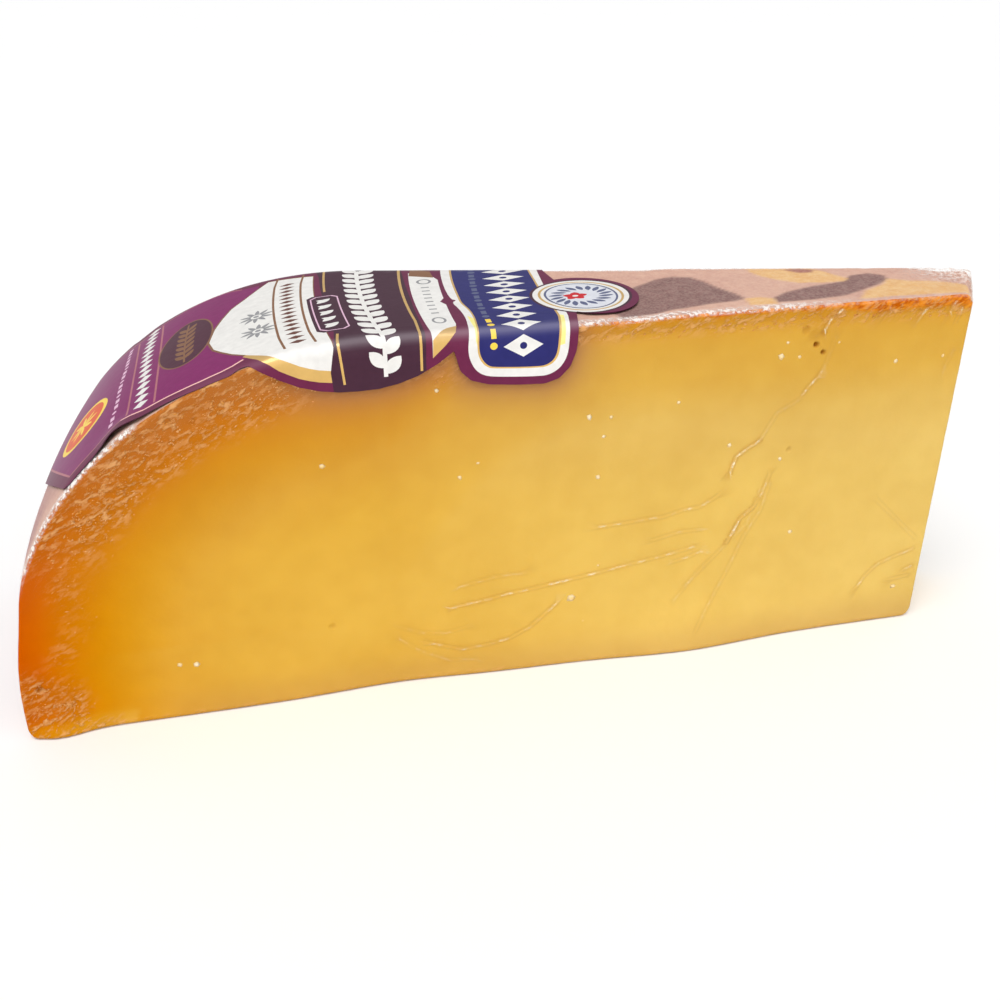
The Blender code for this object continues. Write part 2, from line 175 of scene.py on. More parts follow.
class Form:
    """Outline and plan of the wedge. edge is the radius of its long edges."""

    def __init__(self, edge):
        sizes = bpy.context.scene.wedge_sizes
        self.edge = edge
        self.height = sizes.height / MM
        self.radius = sizes.wheel_radius / MM
        self.axis_y = sizes.axis_depth / MM
        self.axis_x = math.sqrt(self.radius ** 2 - self.axis_y ** 2)
        self.shoulder = sizes.shoulder / MM
        self.foot = sizes.shoulder_foot / MM
        self.bulge = sizes.foot_bulge / MM
        self.face_length = sizes.face_length / MM
        self.rind_width = sizes.rind_width / MM
        self.slope = sizes.back_slope
        self.tip_shift = sizes.tip_shift / MM
        self.tip_width = sizes.tip_width / MM
        self.rise = self.height - self.foot
        self.table = self.rounded_outline()
        self.lowest = self.table[0][0]

    def rounded_outline(self):
        """Length, X, Z and outward normal along the rind, from its foot to the flat top."""
        angle = np.linspace(0.0, math.pi / 2, 1200)
        low = np.linspace(CORNER, self.foot, 100)[:-1]
        z = np.concatenate((low, self.foot + self.rise * np.sin(angle)))
        x = np.concatenate((0.0 * low, self.shoulder * (1.0 - np.cos(angle))))
        level = (z - WIDEST) / (self.height - WIDEST)
        leaning = LEAN * (1.0 - np.sqrt(np.maximum(1.0 - level ** 2, 0.0))) - self.bulge
        x = leaning + (x - leaning) * smooth(*LEAN_BLEND, z)
        steps = np.hypot(np.diff(x), np.diff(z))
        s = self.shoulder - np.concatenate((np.cumsum(steps[::-1])[::-1], (0.0,)))
        way_x, way_z = np.gradient(x), np.gradient(z)
        size = np.hypot(way_x, way_z)
        return s, x, z, -way_z / size, way_x / size

    def outline(self, s):
        """X, Z and outward normal of the outline at the length s, which is X along the flat top."""
        s = np.asarray(s, float)
        flat = s >= self.shoulder
        x, z, nx, nz = (np.interp(s, self.table[0], column) for column in self.table[1:])
        return (np.where(flat, s, x), np.where(flat, self.height, z), np.where(flat, 0.0, nx),
                np.where(flat, 1.0, nz))

    def recess(self, s):
        """How far the outline is pressed in below the label at the length s."""
        rise = smooth(LABEL_POINT - 5.6, LABEL_POINT - 0.6, s)
        return LABEL_RECESS * rise * (1.0 - smooth(LABEL_END, LABEL_END + 4.0, s))

    def back_y(self, x):
        """Y of the back cut face at X."""
        return self.rind_width + self.slope * x

    def shift_x(self, x, y):
        """X of a point of the front outline carried back to Y, along the wheel's rim or the slanted tip."""
        near = np.minimum(x, self.shoulder)
        radius = np.hypot(self.axis_x - near, self.axis_y)
        rind = self.axis_x - np.sqrt(radius ** 2 - (y - self.axis_y) ** 2) - near
        along = np.clip((x - self.shoulder) / (self.face_length - self.shoulder), 0.0, 1.0)
        blend = smooth(self.shoulder, self.face_length, x)
        return x + rind * (1.0 - blend) + self.tip_shift * y / self.tip_width * along

    def swept(self, x, z, a, b):
        """Points carried back to Y = a + b * (Y of the back face)."""
        y = a + b * self.back_y(x)
        for _ in range(6):
            y = a + b * self.back_y(self.shift_x(x, y))
        return np.stack(np.broadcast_arrays(self.shift_x(x, y), y, z), -1)

    def width(self, s):
        """Y of the back edge at the length s of the outline."""
        x = self.outline(s)[0]
        y = self.back_y(x)
        for _ in range(5):
            y = self.back_y(self.shift_x(x, y))
        return y

    def from_rind(self, x, z):
        """Distance of a point of a cut face from the rounded rind, roughly."""
        level = np.hypot(np.maximum(self.shoulder - x, 0.0) / self.shoulder,
                         np.maximum(z - self.foot, 0.0) / self.rise)
        slanted = (1.0 - level) * np.where(x > self.shoulder, self.rise, (self.rise + self.shoulder) / 2)
        return np.where(z < self.foot, np.minimum(x, slanted + 9.0), slanted)


def to_row(points):
    """Points of the face frame in mm to the row frame in metres."""
    return (points - FACE_ORIGIN) * MM


def outline_loop(form, step):
    """Closed outline as rows of X, Z, normal X, normal Z, s and zone. step gives the spacing per zone."""
    r = CORNER
    rows = []

    def add(zone, *columns):
        rows.append(np.column_stack(np.broadcast_arrays(*columns, zone)))

    def corner(cx, cz, start, end, s, zone):
        a = np.radians(np.linspace(start, end, 6))
        add(zone, cx + r * np.cos(a), cz + r * np.sin(a), np.cos(a), np.sin(a), s)

    def between(start, end, size):
        return np.linspace(start, end, max(2, int(abs(end - start) / size)) + 1)[1:-1]

    end = form.face_length
    corner(end - r, form.height - r, 0, 90, end, TIP)
    add(TOP, x := between(end - r, form.shoulder, step[TOP]), form.height, 0.0, 1.0, x)
    s = np.concatenate(((form.shoulder,), between(form.shoulder, form.lowest, step[RIND]), (form.lowest,)))
    add(RIND, *form.outline(s), s)
    heel = form.table[1][0] + r
    a = np.radians(np.linspace(180, 270, 6))[1:]
    add(RIND, heel + r * np.cos(a), r + r * np.sin(a), np.cos(a), np.sin(a), OFF_LABEL)
    add(BASE, between(heel, end - r, step[BASE]), 0.0, 0.0, -1.0, OFF_LABEL)
    corner(end - r, r, 270, 360, OFF_LABEL, TIP)
    add(TIP, end, between(r, form.height - r, step[TIP]), 1.0, 0.0, OFF_LABEL)
    loop = np.concatenate(rows)
    depth = form.recess(loop[:, 4])
    loop[:, 0] -= loop[:, 2] * depth
    loop[:, 1] -= loop[:, 3] * depth
    return loop


def inside(polygon, points):
    """Which points lie inside the polygon."""
    polygon = np.asarray(polygon, float)
    after = np.roll(polygon, -1, axis=0)
    hit = np.zeros(len(points), bool)
    for (ax, ay), (bx, by) in zip(polygon, after):
        if ay == by:
            continue
        crosses = (ay > points[:, 1]) != (by > points[:, 1])
        hit ^= crosses & (points[:, 0] < (bx - ax) * (points[:, 1] - ay) / (by - ay) + ax)
    return hit


def distance_to_line(line, points):
    """Distance of each point from a chain of straight pieces."""
    best = np.full(len(points), 1e9)
    for a, b in zip(line[:-1], line[1:]):
        side = b - a
        t = np.clip(((points - a) @ side) / max(side @ side, 1e-12), 0.0, 1.0)
        best = np.minimum(best, np.hypot(*(points - a - t[:, None] * side).T))
    return best


def distance_to(polygon, points):
    """Distance of each point from the polygon's sides."""
    polygon = np.asarray(polygon, float)
    return distance_to_line(np.concatenate((polygon, polygon[:1])), points)


def honeycomb(low, high, step):
    """Evenly spread points of a rectangle."""
    rows = []
    for i, y in enumerate(np.arange(low[1], high[1], step * 0.866)):
        x = np.arange(low[0] + step * 0.5 * (i % 2), high[0], step)
        rows.append(np.column_stack((x, np.full(len(x), y))))
    return np.concatenate(rows)


def triangulate(borders, points, edges):
    """Constrained triangulation of closed borders and loose points, within the first border.

    The last result names, for each point, its place in the first border, or -1.
    """
    links = [tuple(edge) for edge in edges]
    first = len(points)
    for border in borders:
        links += [(first + i, first + (i + 1) % len(border)) for i in range(len(border))]
        first += len(border)
    coords = [np.asarray(points, float).reshape(-1, 2)] + [np.asarray(border, float) for border in borders]
    coords = np.concatenate(coords)
    result = delaunay_2d_cdt([Vector(c) for c in coords.tolist()], links, [], 0, 1e-4)
    flat = np.array([tuple(v) for v in result[0]])
    faces = np.array(result[2], int)
    keep = inside(borders[0], flat[faces].mean(axis=1))
    start = len(points)
    ends = start + len(borders[0])
    on_border = [next((k - start for k in sources if start <= k < ends), -1) for sources in result[3]]
    return flat, faces[keep], np.array(on_border)


def shell(form, skin, step, rows_across, cap_points, face_y, sink):
    """Closed skin of the wedge, skin mm below its surface.

    step gives the spacing of the outline per zone, cap_points the inner points of a cut face and their
    links, face_y the depth of a cut face at its points and sink the depth of the band round it. Returns
    points, faces, the zone of each face and the outline's row for each point, with zone -1 on cut faces.
    """
    loop = outline_loop(form, step)
    x, z, nx, nz, s, zone = loop.T
    edge = form.edge
    angle = np.radians(np.linspace(0.0, 90.0, 7))
    lead = [(skin + edge * (1.0 - math.cos(a)), skin + edge * (1.0 - math.sin(a))) for a in angle]
    t = np.linspace(0.0, 1.0, rows_across + 2)[1:-1]
    # The rows lie closer together by the two edges.
    t = t - 0.09 * np.sin(2.0 * math.pi * t)
    rim = skin + edge
    rows = [(y, 0.0, inset) for y, inset in lead]
    rows += [(rim * (1.0 - 2.0 * k), k, skin) for k in t]
    rows += [(-y, 1.0, inset) for y, inset in reversed(lead)]
    rows = np.array(rows)
    inset = skin + (rows[:, 2][:, None] - skin) * (1.0 - 0.9 * smooth(0.3, 1.0, -nz))
    points = form.swept(x - nx * inset, z - nz * inset, rows[:, 0][:, None], rows[:, 1][:, None])
    down = sink(points, s, zone, nx, nz)
    points[..., 0] -= nx * down
    points[..., 2] -= nz * down
    points[..., 2] = np.maximum(points[..., 2], skin * 0.3)
    count = len(loop)
    index = np.arange(len(rows) * count).reshape(len(rows), count)
    after = np.roll(index, -1, axis=1)
    quads = np.stack((index[:-1], after[:-1], after[1:], index[1:]), -1).reshape(-1, 4)[:, ::-1]
    quad_zone = np.tile(zone, len(rows) - 1).astype(int)
    points = points.reshape(-1, 3)
    facts = np.tile(loop, (len(rows), 1))
    all_points = [points]
    all_faces = quads.tolist()
    zones = quad_zone.tolist()
    total = len(points)
    for row, back in ((0, False), (len(rows) - 1, True)):
        ring = points[index[row]][:, [0, 2]]
        flat, faces, on_ring = triangulate([ring], *cap_points(ring, back))
        loose = on_ring < 0
        slots = index[row][on_ring]
        slots[loose] = total + np.arange(loose.sum())
        spots = flat[loose]
        y = face_y(spots, distance_to(ring, spots), back)
        placed = np.column_stack((spots[:, 0], form.back_y(spots[:, 0]) - y if back else y, spots[:, 1]))
        all_points.append(placed)
        total += len(placed)
        turned = slots[faces]
        all_faces += (turned[:, ::-1] if back else turned).tolist()
        zones += [BASE] * len(faces)
        facts = np.concatenate((facts, np.tile((0.0, 0.0, 0.0, 0.0, OFF_LABEL, -1.0), (len(placed), 1))))
    return np.concatenate(all_points), all_faces, np.array(zones), facts


# Meshes and materials

def make_mesh(name, points, faces, materials, slots=None, sharp=None):
    """A smooth object. slots gives each face's material, sharp the angle of its hard edges in degrees."""
    mesh = bpy.data.meshes.new(name)
    mesh.from_pydata(to_row(points).tolist(), [], faces)
    for material in materials:
        mesh.materials.append(material)
    if slots is not None:
        mesh.polygons.foreach_set("material_index", np.asarray(slots, np.int32))
    mesh.shade_smooth()
    if sharp:
        mesh.set_sharp_from_angle(angle=math.radians(sharp))
    mesh.update()
    thing = bpy.data.objects.new(name, mesh)
    bpy.context.scene.collection.objects.link(thing)
    return thing


def add_values(thing, **columns):
    """Values at the object's points, for its materials."""
    for name, values in columns.items():
        layer = thing.data.attributes.new(name, "FLOAT", "POINT")
        layer.data.foreach_set("value", np.asarray(values, np.float32))


class Nodes:
    """Short way to lay out a material's nodes."""

    def __init__(self, name):
        self.material = bpy.data.materials.new(name)
        self.material.use_nodes = True
        self.tree = self.material.node_tree
        self.tree.nodes.clear()

    def add(self, kind, inputs=None, **settings):
        node = self.tree.nodes.new(kind)
        for key, value in settings.items():
            setattr(node, key, value)
        for key, value in (inputs or {}).items():
            if isinstance(value, bpy.types.NodeSocket):
                self.tree.links.new(value, node.inputs[key])
            else:
                node.inputs[key].default_value = value
        return node

    def value(self, name):
        return self.add("ShaderNodeAttribute", attribute_name=name).outputs["Fac"]

    def place(self):
        return self.add("ShaderNodeTexCoord").outputs["Object"]

    def noise(self, scale, detail=3.0, place=None, rough=0.5):
        node = self.add("ShaderNodeTexNoise", {"Scale": scale, "Detail": detail, "Roughness": rough,
                                               "Vector": place or self.place()})
        return node.outputs["Fac"]

    def ramp(self, value, stops, mode="LINEAR"):
        node = self.add("ShaderNodeValToRGB", {"Fac": value})
        node.color_ramp.interpolation = mode
        while len(node.color_ramp.elements) < len(stops):
            node.color_ramp.elements.new(0.5)
        for element, (where, shade) in zip(node.color_ramp.elements, stops):
            element.position = where
            element.color = (*shade, 1.0)
        return node.outputs["Color"]

    def grey(self, value, low, high):
        """The value stretched so that low becomes 0 and high becomes 1."""
        return self.add("ShaderNodeMapRange", {"Value": value, "From Min": low, "From Max": high}).outputs[0]

    def math(self, operation, a, b):
        return self.add("ShaderNodeMath", {0: a, 1: b}, operation=operation).outputs[0]

    def mix(self, factor, a, b, blend="MIX"):
        node = self.add("ShaderNodeMix", data_type="RGBA", blend_type=blend)
        for key, value in ((0, factor), (6, a), (7, b)):
            if isinstance(value, bpy.types.NodeSocket):
                self.tree.links.new(value, node.inputs[key])
            elif key == 0:
                node.inputs[key].default_value = value
            else:
                node.inputs[key].default_value = (*value, 1.0)
        return node.outputs[2]

    def bump(self, height, depth):
        inputs = {"Height": height, "Distance": depth * MM, "Strength": 1.0}
        return self.add("ShaderNodeBump", inputs).outputs[0]

    def shine(self, colour, rough, normal, gloss, more=None):
        """Finish the material as one opaque surface."""
        inputs = {"Base Color": colour, "Roughness": rough, "Normal": normal, "Specular IOR Level": gloss}
        return self.finish(self.add("ShaderNodeBsdfPrincipled", inputs | (more or {})).outputs[0])

    def finish(self, shader):
        self.add("ShaderNodeOutputMaterial", {"Surface": shader})
        return self.material


def paste_material(look):
    n = Nodes("paste")
    stops = ((0.0, tuple(look.under_rind)), (0.028, linear((200, 97, 0))), (0.067, linear((204, 120, 0))),
             (0.117, tuple(look.near_rind)), (0.15, linear((211, 148, 24))), (0.183, linear((214, 156, 40))),
             (0.222, linear((217, 164, 56))), (0.311, linear((218, 170, 64))), (0.478, tuple(look.middle)),
             (0.667, linear((223, 185, 92))), (0.944, tuple(look.heart)))
    base = n.ramp(n.value("tone"), stops)
    large = n.math("MULTIPLY", n.noise(55.0, 4.0), 0.6)
    small = n.math("MULTIPLY", n.noise(300.0, 4.0), 0.4)
    clouds = n.grey(n.math("ADD", large, small), 0.35, 0.65)
    base = n.mix(0.5, base, n.mix(clouds, (0.90, 0.84, 0.76), (1.08, 1.10, 1.16)), "MULTIPLY")
    # Shade darkens the paste toward a dim brown: a painted shadow below the label, with darker tints towards
    # the foot and by the rind.
    shaded = n.mix(n.value("shade"), base, linear((170, 120, 80)))
    slant = n.add("ShaderNodeMapping", {"Vector": n.place(), "Rotation": (0.0, math.radians(-30.0), 0.0),
                                        "Scale": (2.0, 1.0, 0.8)}, vector_type="TEXTURE").outputs[0]
    flecks = n.grey(n.noise(1500.0, 3.0, slant, 0.6), 0.48, 0.62)
    patches = n.grey(n.noise(420.0, 3.0, slant), 0.38, 0.62)
    crumb = n.value("crumb")
    ground = n.mix(n.value("soak"), shaded, linear((186, 106, 14)))
    cover = n.math("MULTIPLY", flecks, n.math("ADD", n.math("MULTIPLY", patches, 0.55), 0.3))
    cover = n.math("MULTIPLY", crumb, cover)
    streaks = n.grey(n.noise(1600.0, 3.0, slant), 0.42, 0.62)
    line = n.mix(streaks, linear((192, 92, 6)), linear((232, 142, 40)))
    shade = n.mix(cover, n.mix(n.value("rim"), ground, line), tuple(look.crumb))
    # Painted shade in the small holes: a darker orange.
    shade = n.mix(n.value("pit"), shade, linear((150, 84, 8)))
    height = n.math("ADD", cover, n.math("MULTIPLY", n.noise(420.0, 4.0), 0.35))
    depth = {"Subsurface Weight": 0.1, "Subsurface Radius": (1.0, 0.6, 0.25), "Subsurface Scale": 0.0012}
    return n.shine(shade, 0.6, n.bump(height, 0.18), 0.0, depth)


def rind_material(look):
    n = Nodes("rind")
    clouds = n.grey(n.noise(120.0, 5.0), 0.3, 0.7)
    ground = n.mix(n.math("MULTIPLY", clouds, 0.5), tuple(look.rind), linear((190, 140, 128)))
    mottled = n.grey(n.noise(700.0, 5.0, None, 0.65), 0.36, 0.66)
    ground = n.mix(n.math("MULTIPLY", mottled, 0.35), ground, linear((234, 196, 170)))
    mauve = n.mix(mottled, linear((122, 88, 86)), tuple(look.rind_dark))
    ground = n.mix(n.value("mauve"), ground, mauve)
    ground = n.mix(n.value("peach"), ground, n.mix(mottled, tuple(look.rind_pale), linear((235, 194, 134))))
    ground = n.mix(n.value("wine"), ground, linear((150, 84, 92)))
    grain = n.grey(n.noise(2600.0, 3.0, None, 0.7), 0.42, 0.6)
    ground = n.mix(n.math("MULTIPLY", grain, 0.12), ground, linear((255, 236, 216)))
    return n.shine(ground, 0.5, n.bump(n.noise(600.0, 5.0), 0.12), 0.05)


def crumb_material(look):
    n = Nodes("crumb")
    tint = n.grey(n.noise(400.0, 2.0), 0.35, 0.65)
    shade = n.mix(tint, linear((214, 142, 58)), tuple(look.crumb))
    return n.shine(shade, 0.6, n.bump(n.noise(1800.0, 3.0), 0.06), 0.1)


def crystal_material():
    n = Nodes("crystal")
    tint = n.grey(n.noise(900.0, 2.0), 0.35, 0.65)
    shade = n.mix(tint, linear((244, 210, 140)), linear((250, 234, 200)))
    return n.shine(shade, 0.45, n.bump(n.noise(2600.0, 3.0), 0.05), 0.1)


def film_material():
    n = Nodes("clear_film")

    def matt(colour):
        return n.add("ShaderNodeBsdfDiffuse", {"Color": (*colour, 1.0)}).outputs[0]

    def over(cover, below, above):
        return n.add("ShaderNodeMixShader", {0: cover, 1: below, 2: above}).outputs[0]

    wrinkles = n.bump(n.noise(240.0, 3.0), 0.05)
    gloss = n.add("ShaderNodeBsdfGlossy", {"Color": (1.0, 1.0, 1.0, 1.0), "Roughness": 0.14,
                                           "Normal": wrinkles}).outputs[0]
    clear = n.add("ShaderNodeBsdfTransparent", {"Color": (1.0, 1.0, 1.0, 1.0)}).outputs[0]
    facing = n.add("ShaderNodeFresnel", {"IOR": 1.2, "Normal": wrinkles}).outputs[0]
    skin = over(n.math("MULTIPLY", facing, 0.12), clear, gloss)
    # Painted shade in thin lines beside the creases: a matt brown over the film.
    crease_shaded = over(n.value("furrow"), skin, matt(linear((196, 138, 52))))
    lines = n.grey(n.noise(1700.0, 3.0, None, 0.6), 0.44, 0.58)
    # Painted highlights along the creases: a matt cream over the film, broken up by noise.
    crease = n.math("MULTIPLY", n.value("crinkle"), n.math("ADD", n.math("MULTIPLY", lines, 0.6), 0.3))
    glinted = over(crease, crease_shaded, matt((1.0, 0.92, 0.66)))
    # Painted glints on the film's pleated hems and crumpled tip: a matt off-white over the film.
    hem = n.math("MULTIPLY", n.value("hem"), n.math("ADD", n.math("MULTIPLY", lines, 0.75), 0.12))
    return n.finish(over(hem, glinted, matt((0.98, 0.93, 0.88))))


def print_material(name, shade, gold=0.0):
    """Coated paper in one printed colour, with the paper's faint tooth and a painted highlight along the
    folds.
    """
    n = Nodes(name)
    grain = n.grey(n.noise(900.0, 4.0), 0.3, 0.7)
    ink = n.mix(grain, tuple(part * 0.9 for part in shade), tuple(shade))
    # Painted highlight along the folds: the ink is mixed toward white where fold is high.
    lit = n.mix(n.math("MULTIPLY", n.value("fold"), 0.12), ink, (1.0, 0.95, 1.0))
    tooth = n.bump(n.noise(500.0, 3.0), 0.03)
    return n.shine(lit, 0.3 if gold else 0.36, tooth, 0.3 if gold else 0.05, {"Metallic": gold})


# Cheese

# Fields of the rind's coat on the top, in X and Y.
MAUVE_FIELDS = (
    ((84.0, 4.0), (86.6, 10.0), (90.4, 14.9), (95.0, 17.9), (97.9, 18.2), (100.4, 17.3), (101.4, 15.0),
     (102.4, 10.8), (103.5, 8.0), (103.8, 5.4), (102.0, 4.7), (98.1, 4.2), (94.0, 3.3), (90.1, 2.5),
     (84.0, 1.4)),
    ((107.6, 4.6), (110.7, 7.0), (113.7, 8.2), (117.5, 9.3), (121.7, 10.3), (124.2, 12.8), (127.5, 13.4),
     (129.2, 12.0), (128.9, 10.0), (126.4, 7.9), (122.9, 6.1), (118.8, 3.8), (114.8, 3.2), (110.8, 2.9),
     (107.6, 2.8)),
)
PEACH_FIELDS = (
    ((103.8, 5.4), (103.3, 2.4), (107.2, 2.0), (107.8, 4.6), (106.2, 5.6)),
    ((110.8, 20.7), (110.3, 17.9), (110.9, 15.6), (112.6, 13.1), (114.8, 11.2), (118.4, 10.4), (122.0, 10.4),
     (123.1, 11.4), (122.2, 13.7), (121.4, 16.0), (118.7, 20.0)),
    ((128.9, 10.2), (131.4, 8.3), (135.0, 7.4), (138.6, 6.8), (140.4, 4.8), (138.0, 1.2), (131.7, 1.4),
     (125.8, 1.8), (119.6, 1.6), (122.6, 5.3), (126.7, 7.6)),
)
DARK_STREAKS = (((115.8, 18.0), (117.4, 16.0), (119.2, 15.6), (120.5, 17.0), (118.0, 18.2)),)

# Pale crystals on the front face, as X, Z and size.
CRYSTALS = (
    (42.8, 37.6, 0.42), (61.4, 33.8, 0.34), (79.8, 41.1, 0.45), (83.0, 40.8, 0.38), (82.0, 38.0, 0.3),
    (81.5, 31.7, 0.4), (64.0, 35.8, 0.24), (58.5, 46.9, 0.3), (78.1, 11.9, 0.7), (80.1, 7.5, 0.36),
    (80.7, 2.1, 0.3), (20.8, 9.1, 0.42), (23.0, 8.7, 0.44), (92.9, 42.1, 0.3), (107.7, 47.6, 0.54),
    (110.6, 47.4, 0.28),
    (109.6, 31.6, 0.32), (101.3, 34.6, 0.34), (126.0, 45.5, 0.34), (133.7, 45.7, 0.3), (112.9, 18.8, 0.42),
    (132.9, 6.2, 0.5), (82.1, 17.0, 0.26), (83.2, 3.5, 0.34), (108.5, 49.7, 0.28), (116.5, 49.1, 0.24),
)
# Small holes of the front face, as X, Z, radius and depth. The paste is also painted darker in them as shade.
PITS = ((111.2, 51.2, 0.6, 0.25), (113.9, 50.6, 0.5, 0.25), (112.5, 50.3, 0.9, 0.2), (113.0, 49.0, 0.38, 0.6),
        (114.2, 47.8, 0.34, 0.55), (110.9, 33.0, 0.4, 0.2), (42.4, 12.1, 0.45, 0.2), (1.9, 7.8, 0.55, 0.4))

# Lower edge of the label on the front face, in X and Z. The paste below it gets a painted shadow.
LABEL_HEM = ((34.5, 52.6), (36.5, 51.2), (38.6, 49.8), (41.0, 48.7), (43.6, 48.0), (46.4, 47.8), (50.8, 47.9),
             (53.5, 48.4), (56.2, 49.4), (58.9, 50.8), (61.2, 52.6), (61.2, 51.2), (61.7, 49.5), (63.1, 48.0),
             (65.5, 47.3), (69.7, 47.0), (73.2, 46.7), (75.2, 47.3), (76.7, 48.8), (77.5, 51.0), (77.7, 53.2))


# Corners of the box that the worn wedge keeps within, in X, Y and Z.
WORN_LOW = (-9.0, -1.26, 0.0)
WORN_HIGH = (144.82, 43.83, 60.0)


def crumb_cover(form, x, z):
    """Share of a cut face that is crumbly, from 0 to 1."""
    d = form.from_rind(x, z)
    below = form.height - z
    by_rind = smooth(-0.8, 0.8, d) * (1.0 - smooth(6.0, 10.5, d))
    curve = by_rind * smooth(23.0, 33.0, z) * (1.0 - smooth(36.0, 46.0, x))
    patch = 0.42 * np.exp(-((x - 8.0) / 2.2) ** 2 - ((z - 23.0) / 5.5) ** 2)
    tail = 0.45 * np.exp(-((x - 6.5 - 0.5 * (z - 14.0)) / 1.8) ** 2 - ((z - 14.0) / 3.5) ** 2)
    corner = (1.0 - smooth(6.0, 9.5, x)) * (1.0 - smooth(8.0, 13.0, z + 0.4 * x))
    top = (1.0 - smooth(1.8, 4.2, below)) * smooth(60.0, 78.0, x)
    under = 0.3 * (1.0 - smooth(6.0, 9.0, below)) * smooth(30.0, 50.0, x) * (1.0 - smooth(60.0, 78.0, x))
    by_foot = x < 12.0
    foot = (0.5 + 0.5 * by_foot) * (1.0 - smooth(0.4, 1.0 + 1.5 * by_foot, z))
    return np.clip(np.maximum.reduce((curve, patch, tail, corner, top, under, foot)), 0.0, 1.0)


def foot_out(points):
    """How far the foot of the front face stands out: crumbs by the rind and a slow wave along it."""
    x, y, z = points.T
    lump = 1.32 * np.exp(-((x - 3.5) / 4.0) ** 2 - (z / 3.0) ** 2)
    wave = 1.4 * np.exp(-((x - 97.0) / 13.0) ** 2) - 1.0 * np.exp(-((x - 52.0) / 12.0) ** 2)
    out = 0.985 * (lump + wave * np.exp(-(z / 6.0) ** 2)) * (y < 5.0)
    return np.column_stack((0.0 * out, out, 0.0 * out))


def worn(points):
    """The points moved out at the foot of the front face, with the outermost corners worn off."""
    return np.clip(points - foot_out(points), WORN_LOW, WORN_HIGH)


def field_mask(fields, spots, soft):
    """How far each spot lies in one of the fields, from 0 to 1, with a soft border."""
    cover = np.zeros(len(spots))
    for field in fields:
        edge = distance_to(field, spots) * np.where(inside(field, spots), 1.0, -1.0)
        cover = np.maximum(cover, smooth(-soft, soft, edge))
    return cover


def near_pits(spots):
    """Distance of each point of the front face from the nearest small hole."""
    holes = np.array(PITS)[:, :2]
    return np.min(np.hypot(*(spots[:, None] - holes).transpose(2, 0, 1)), axis=1)


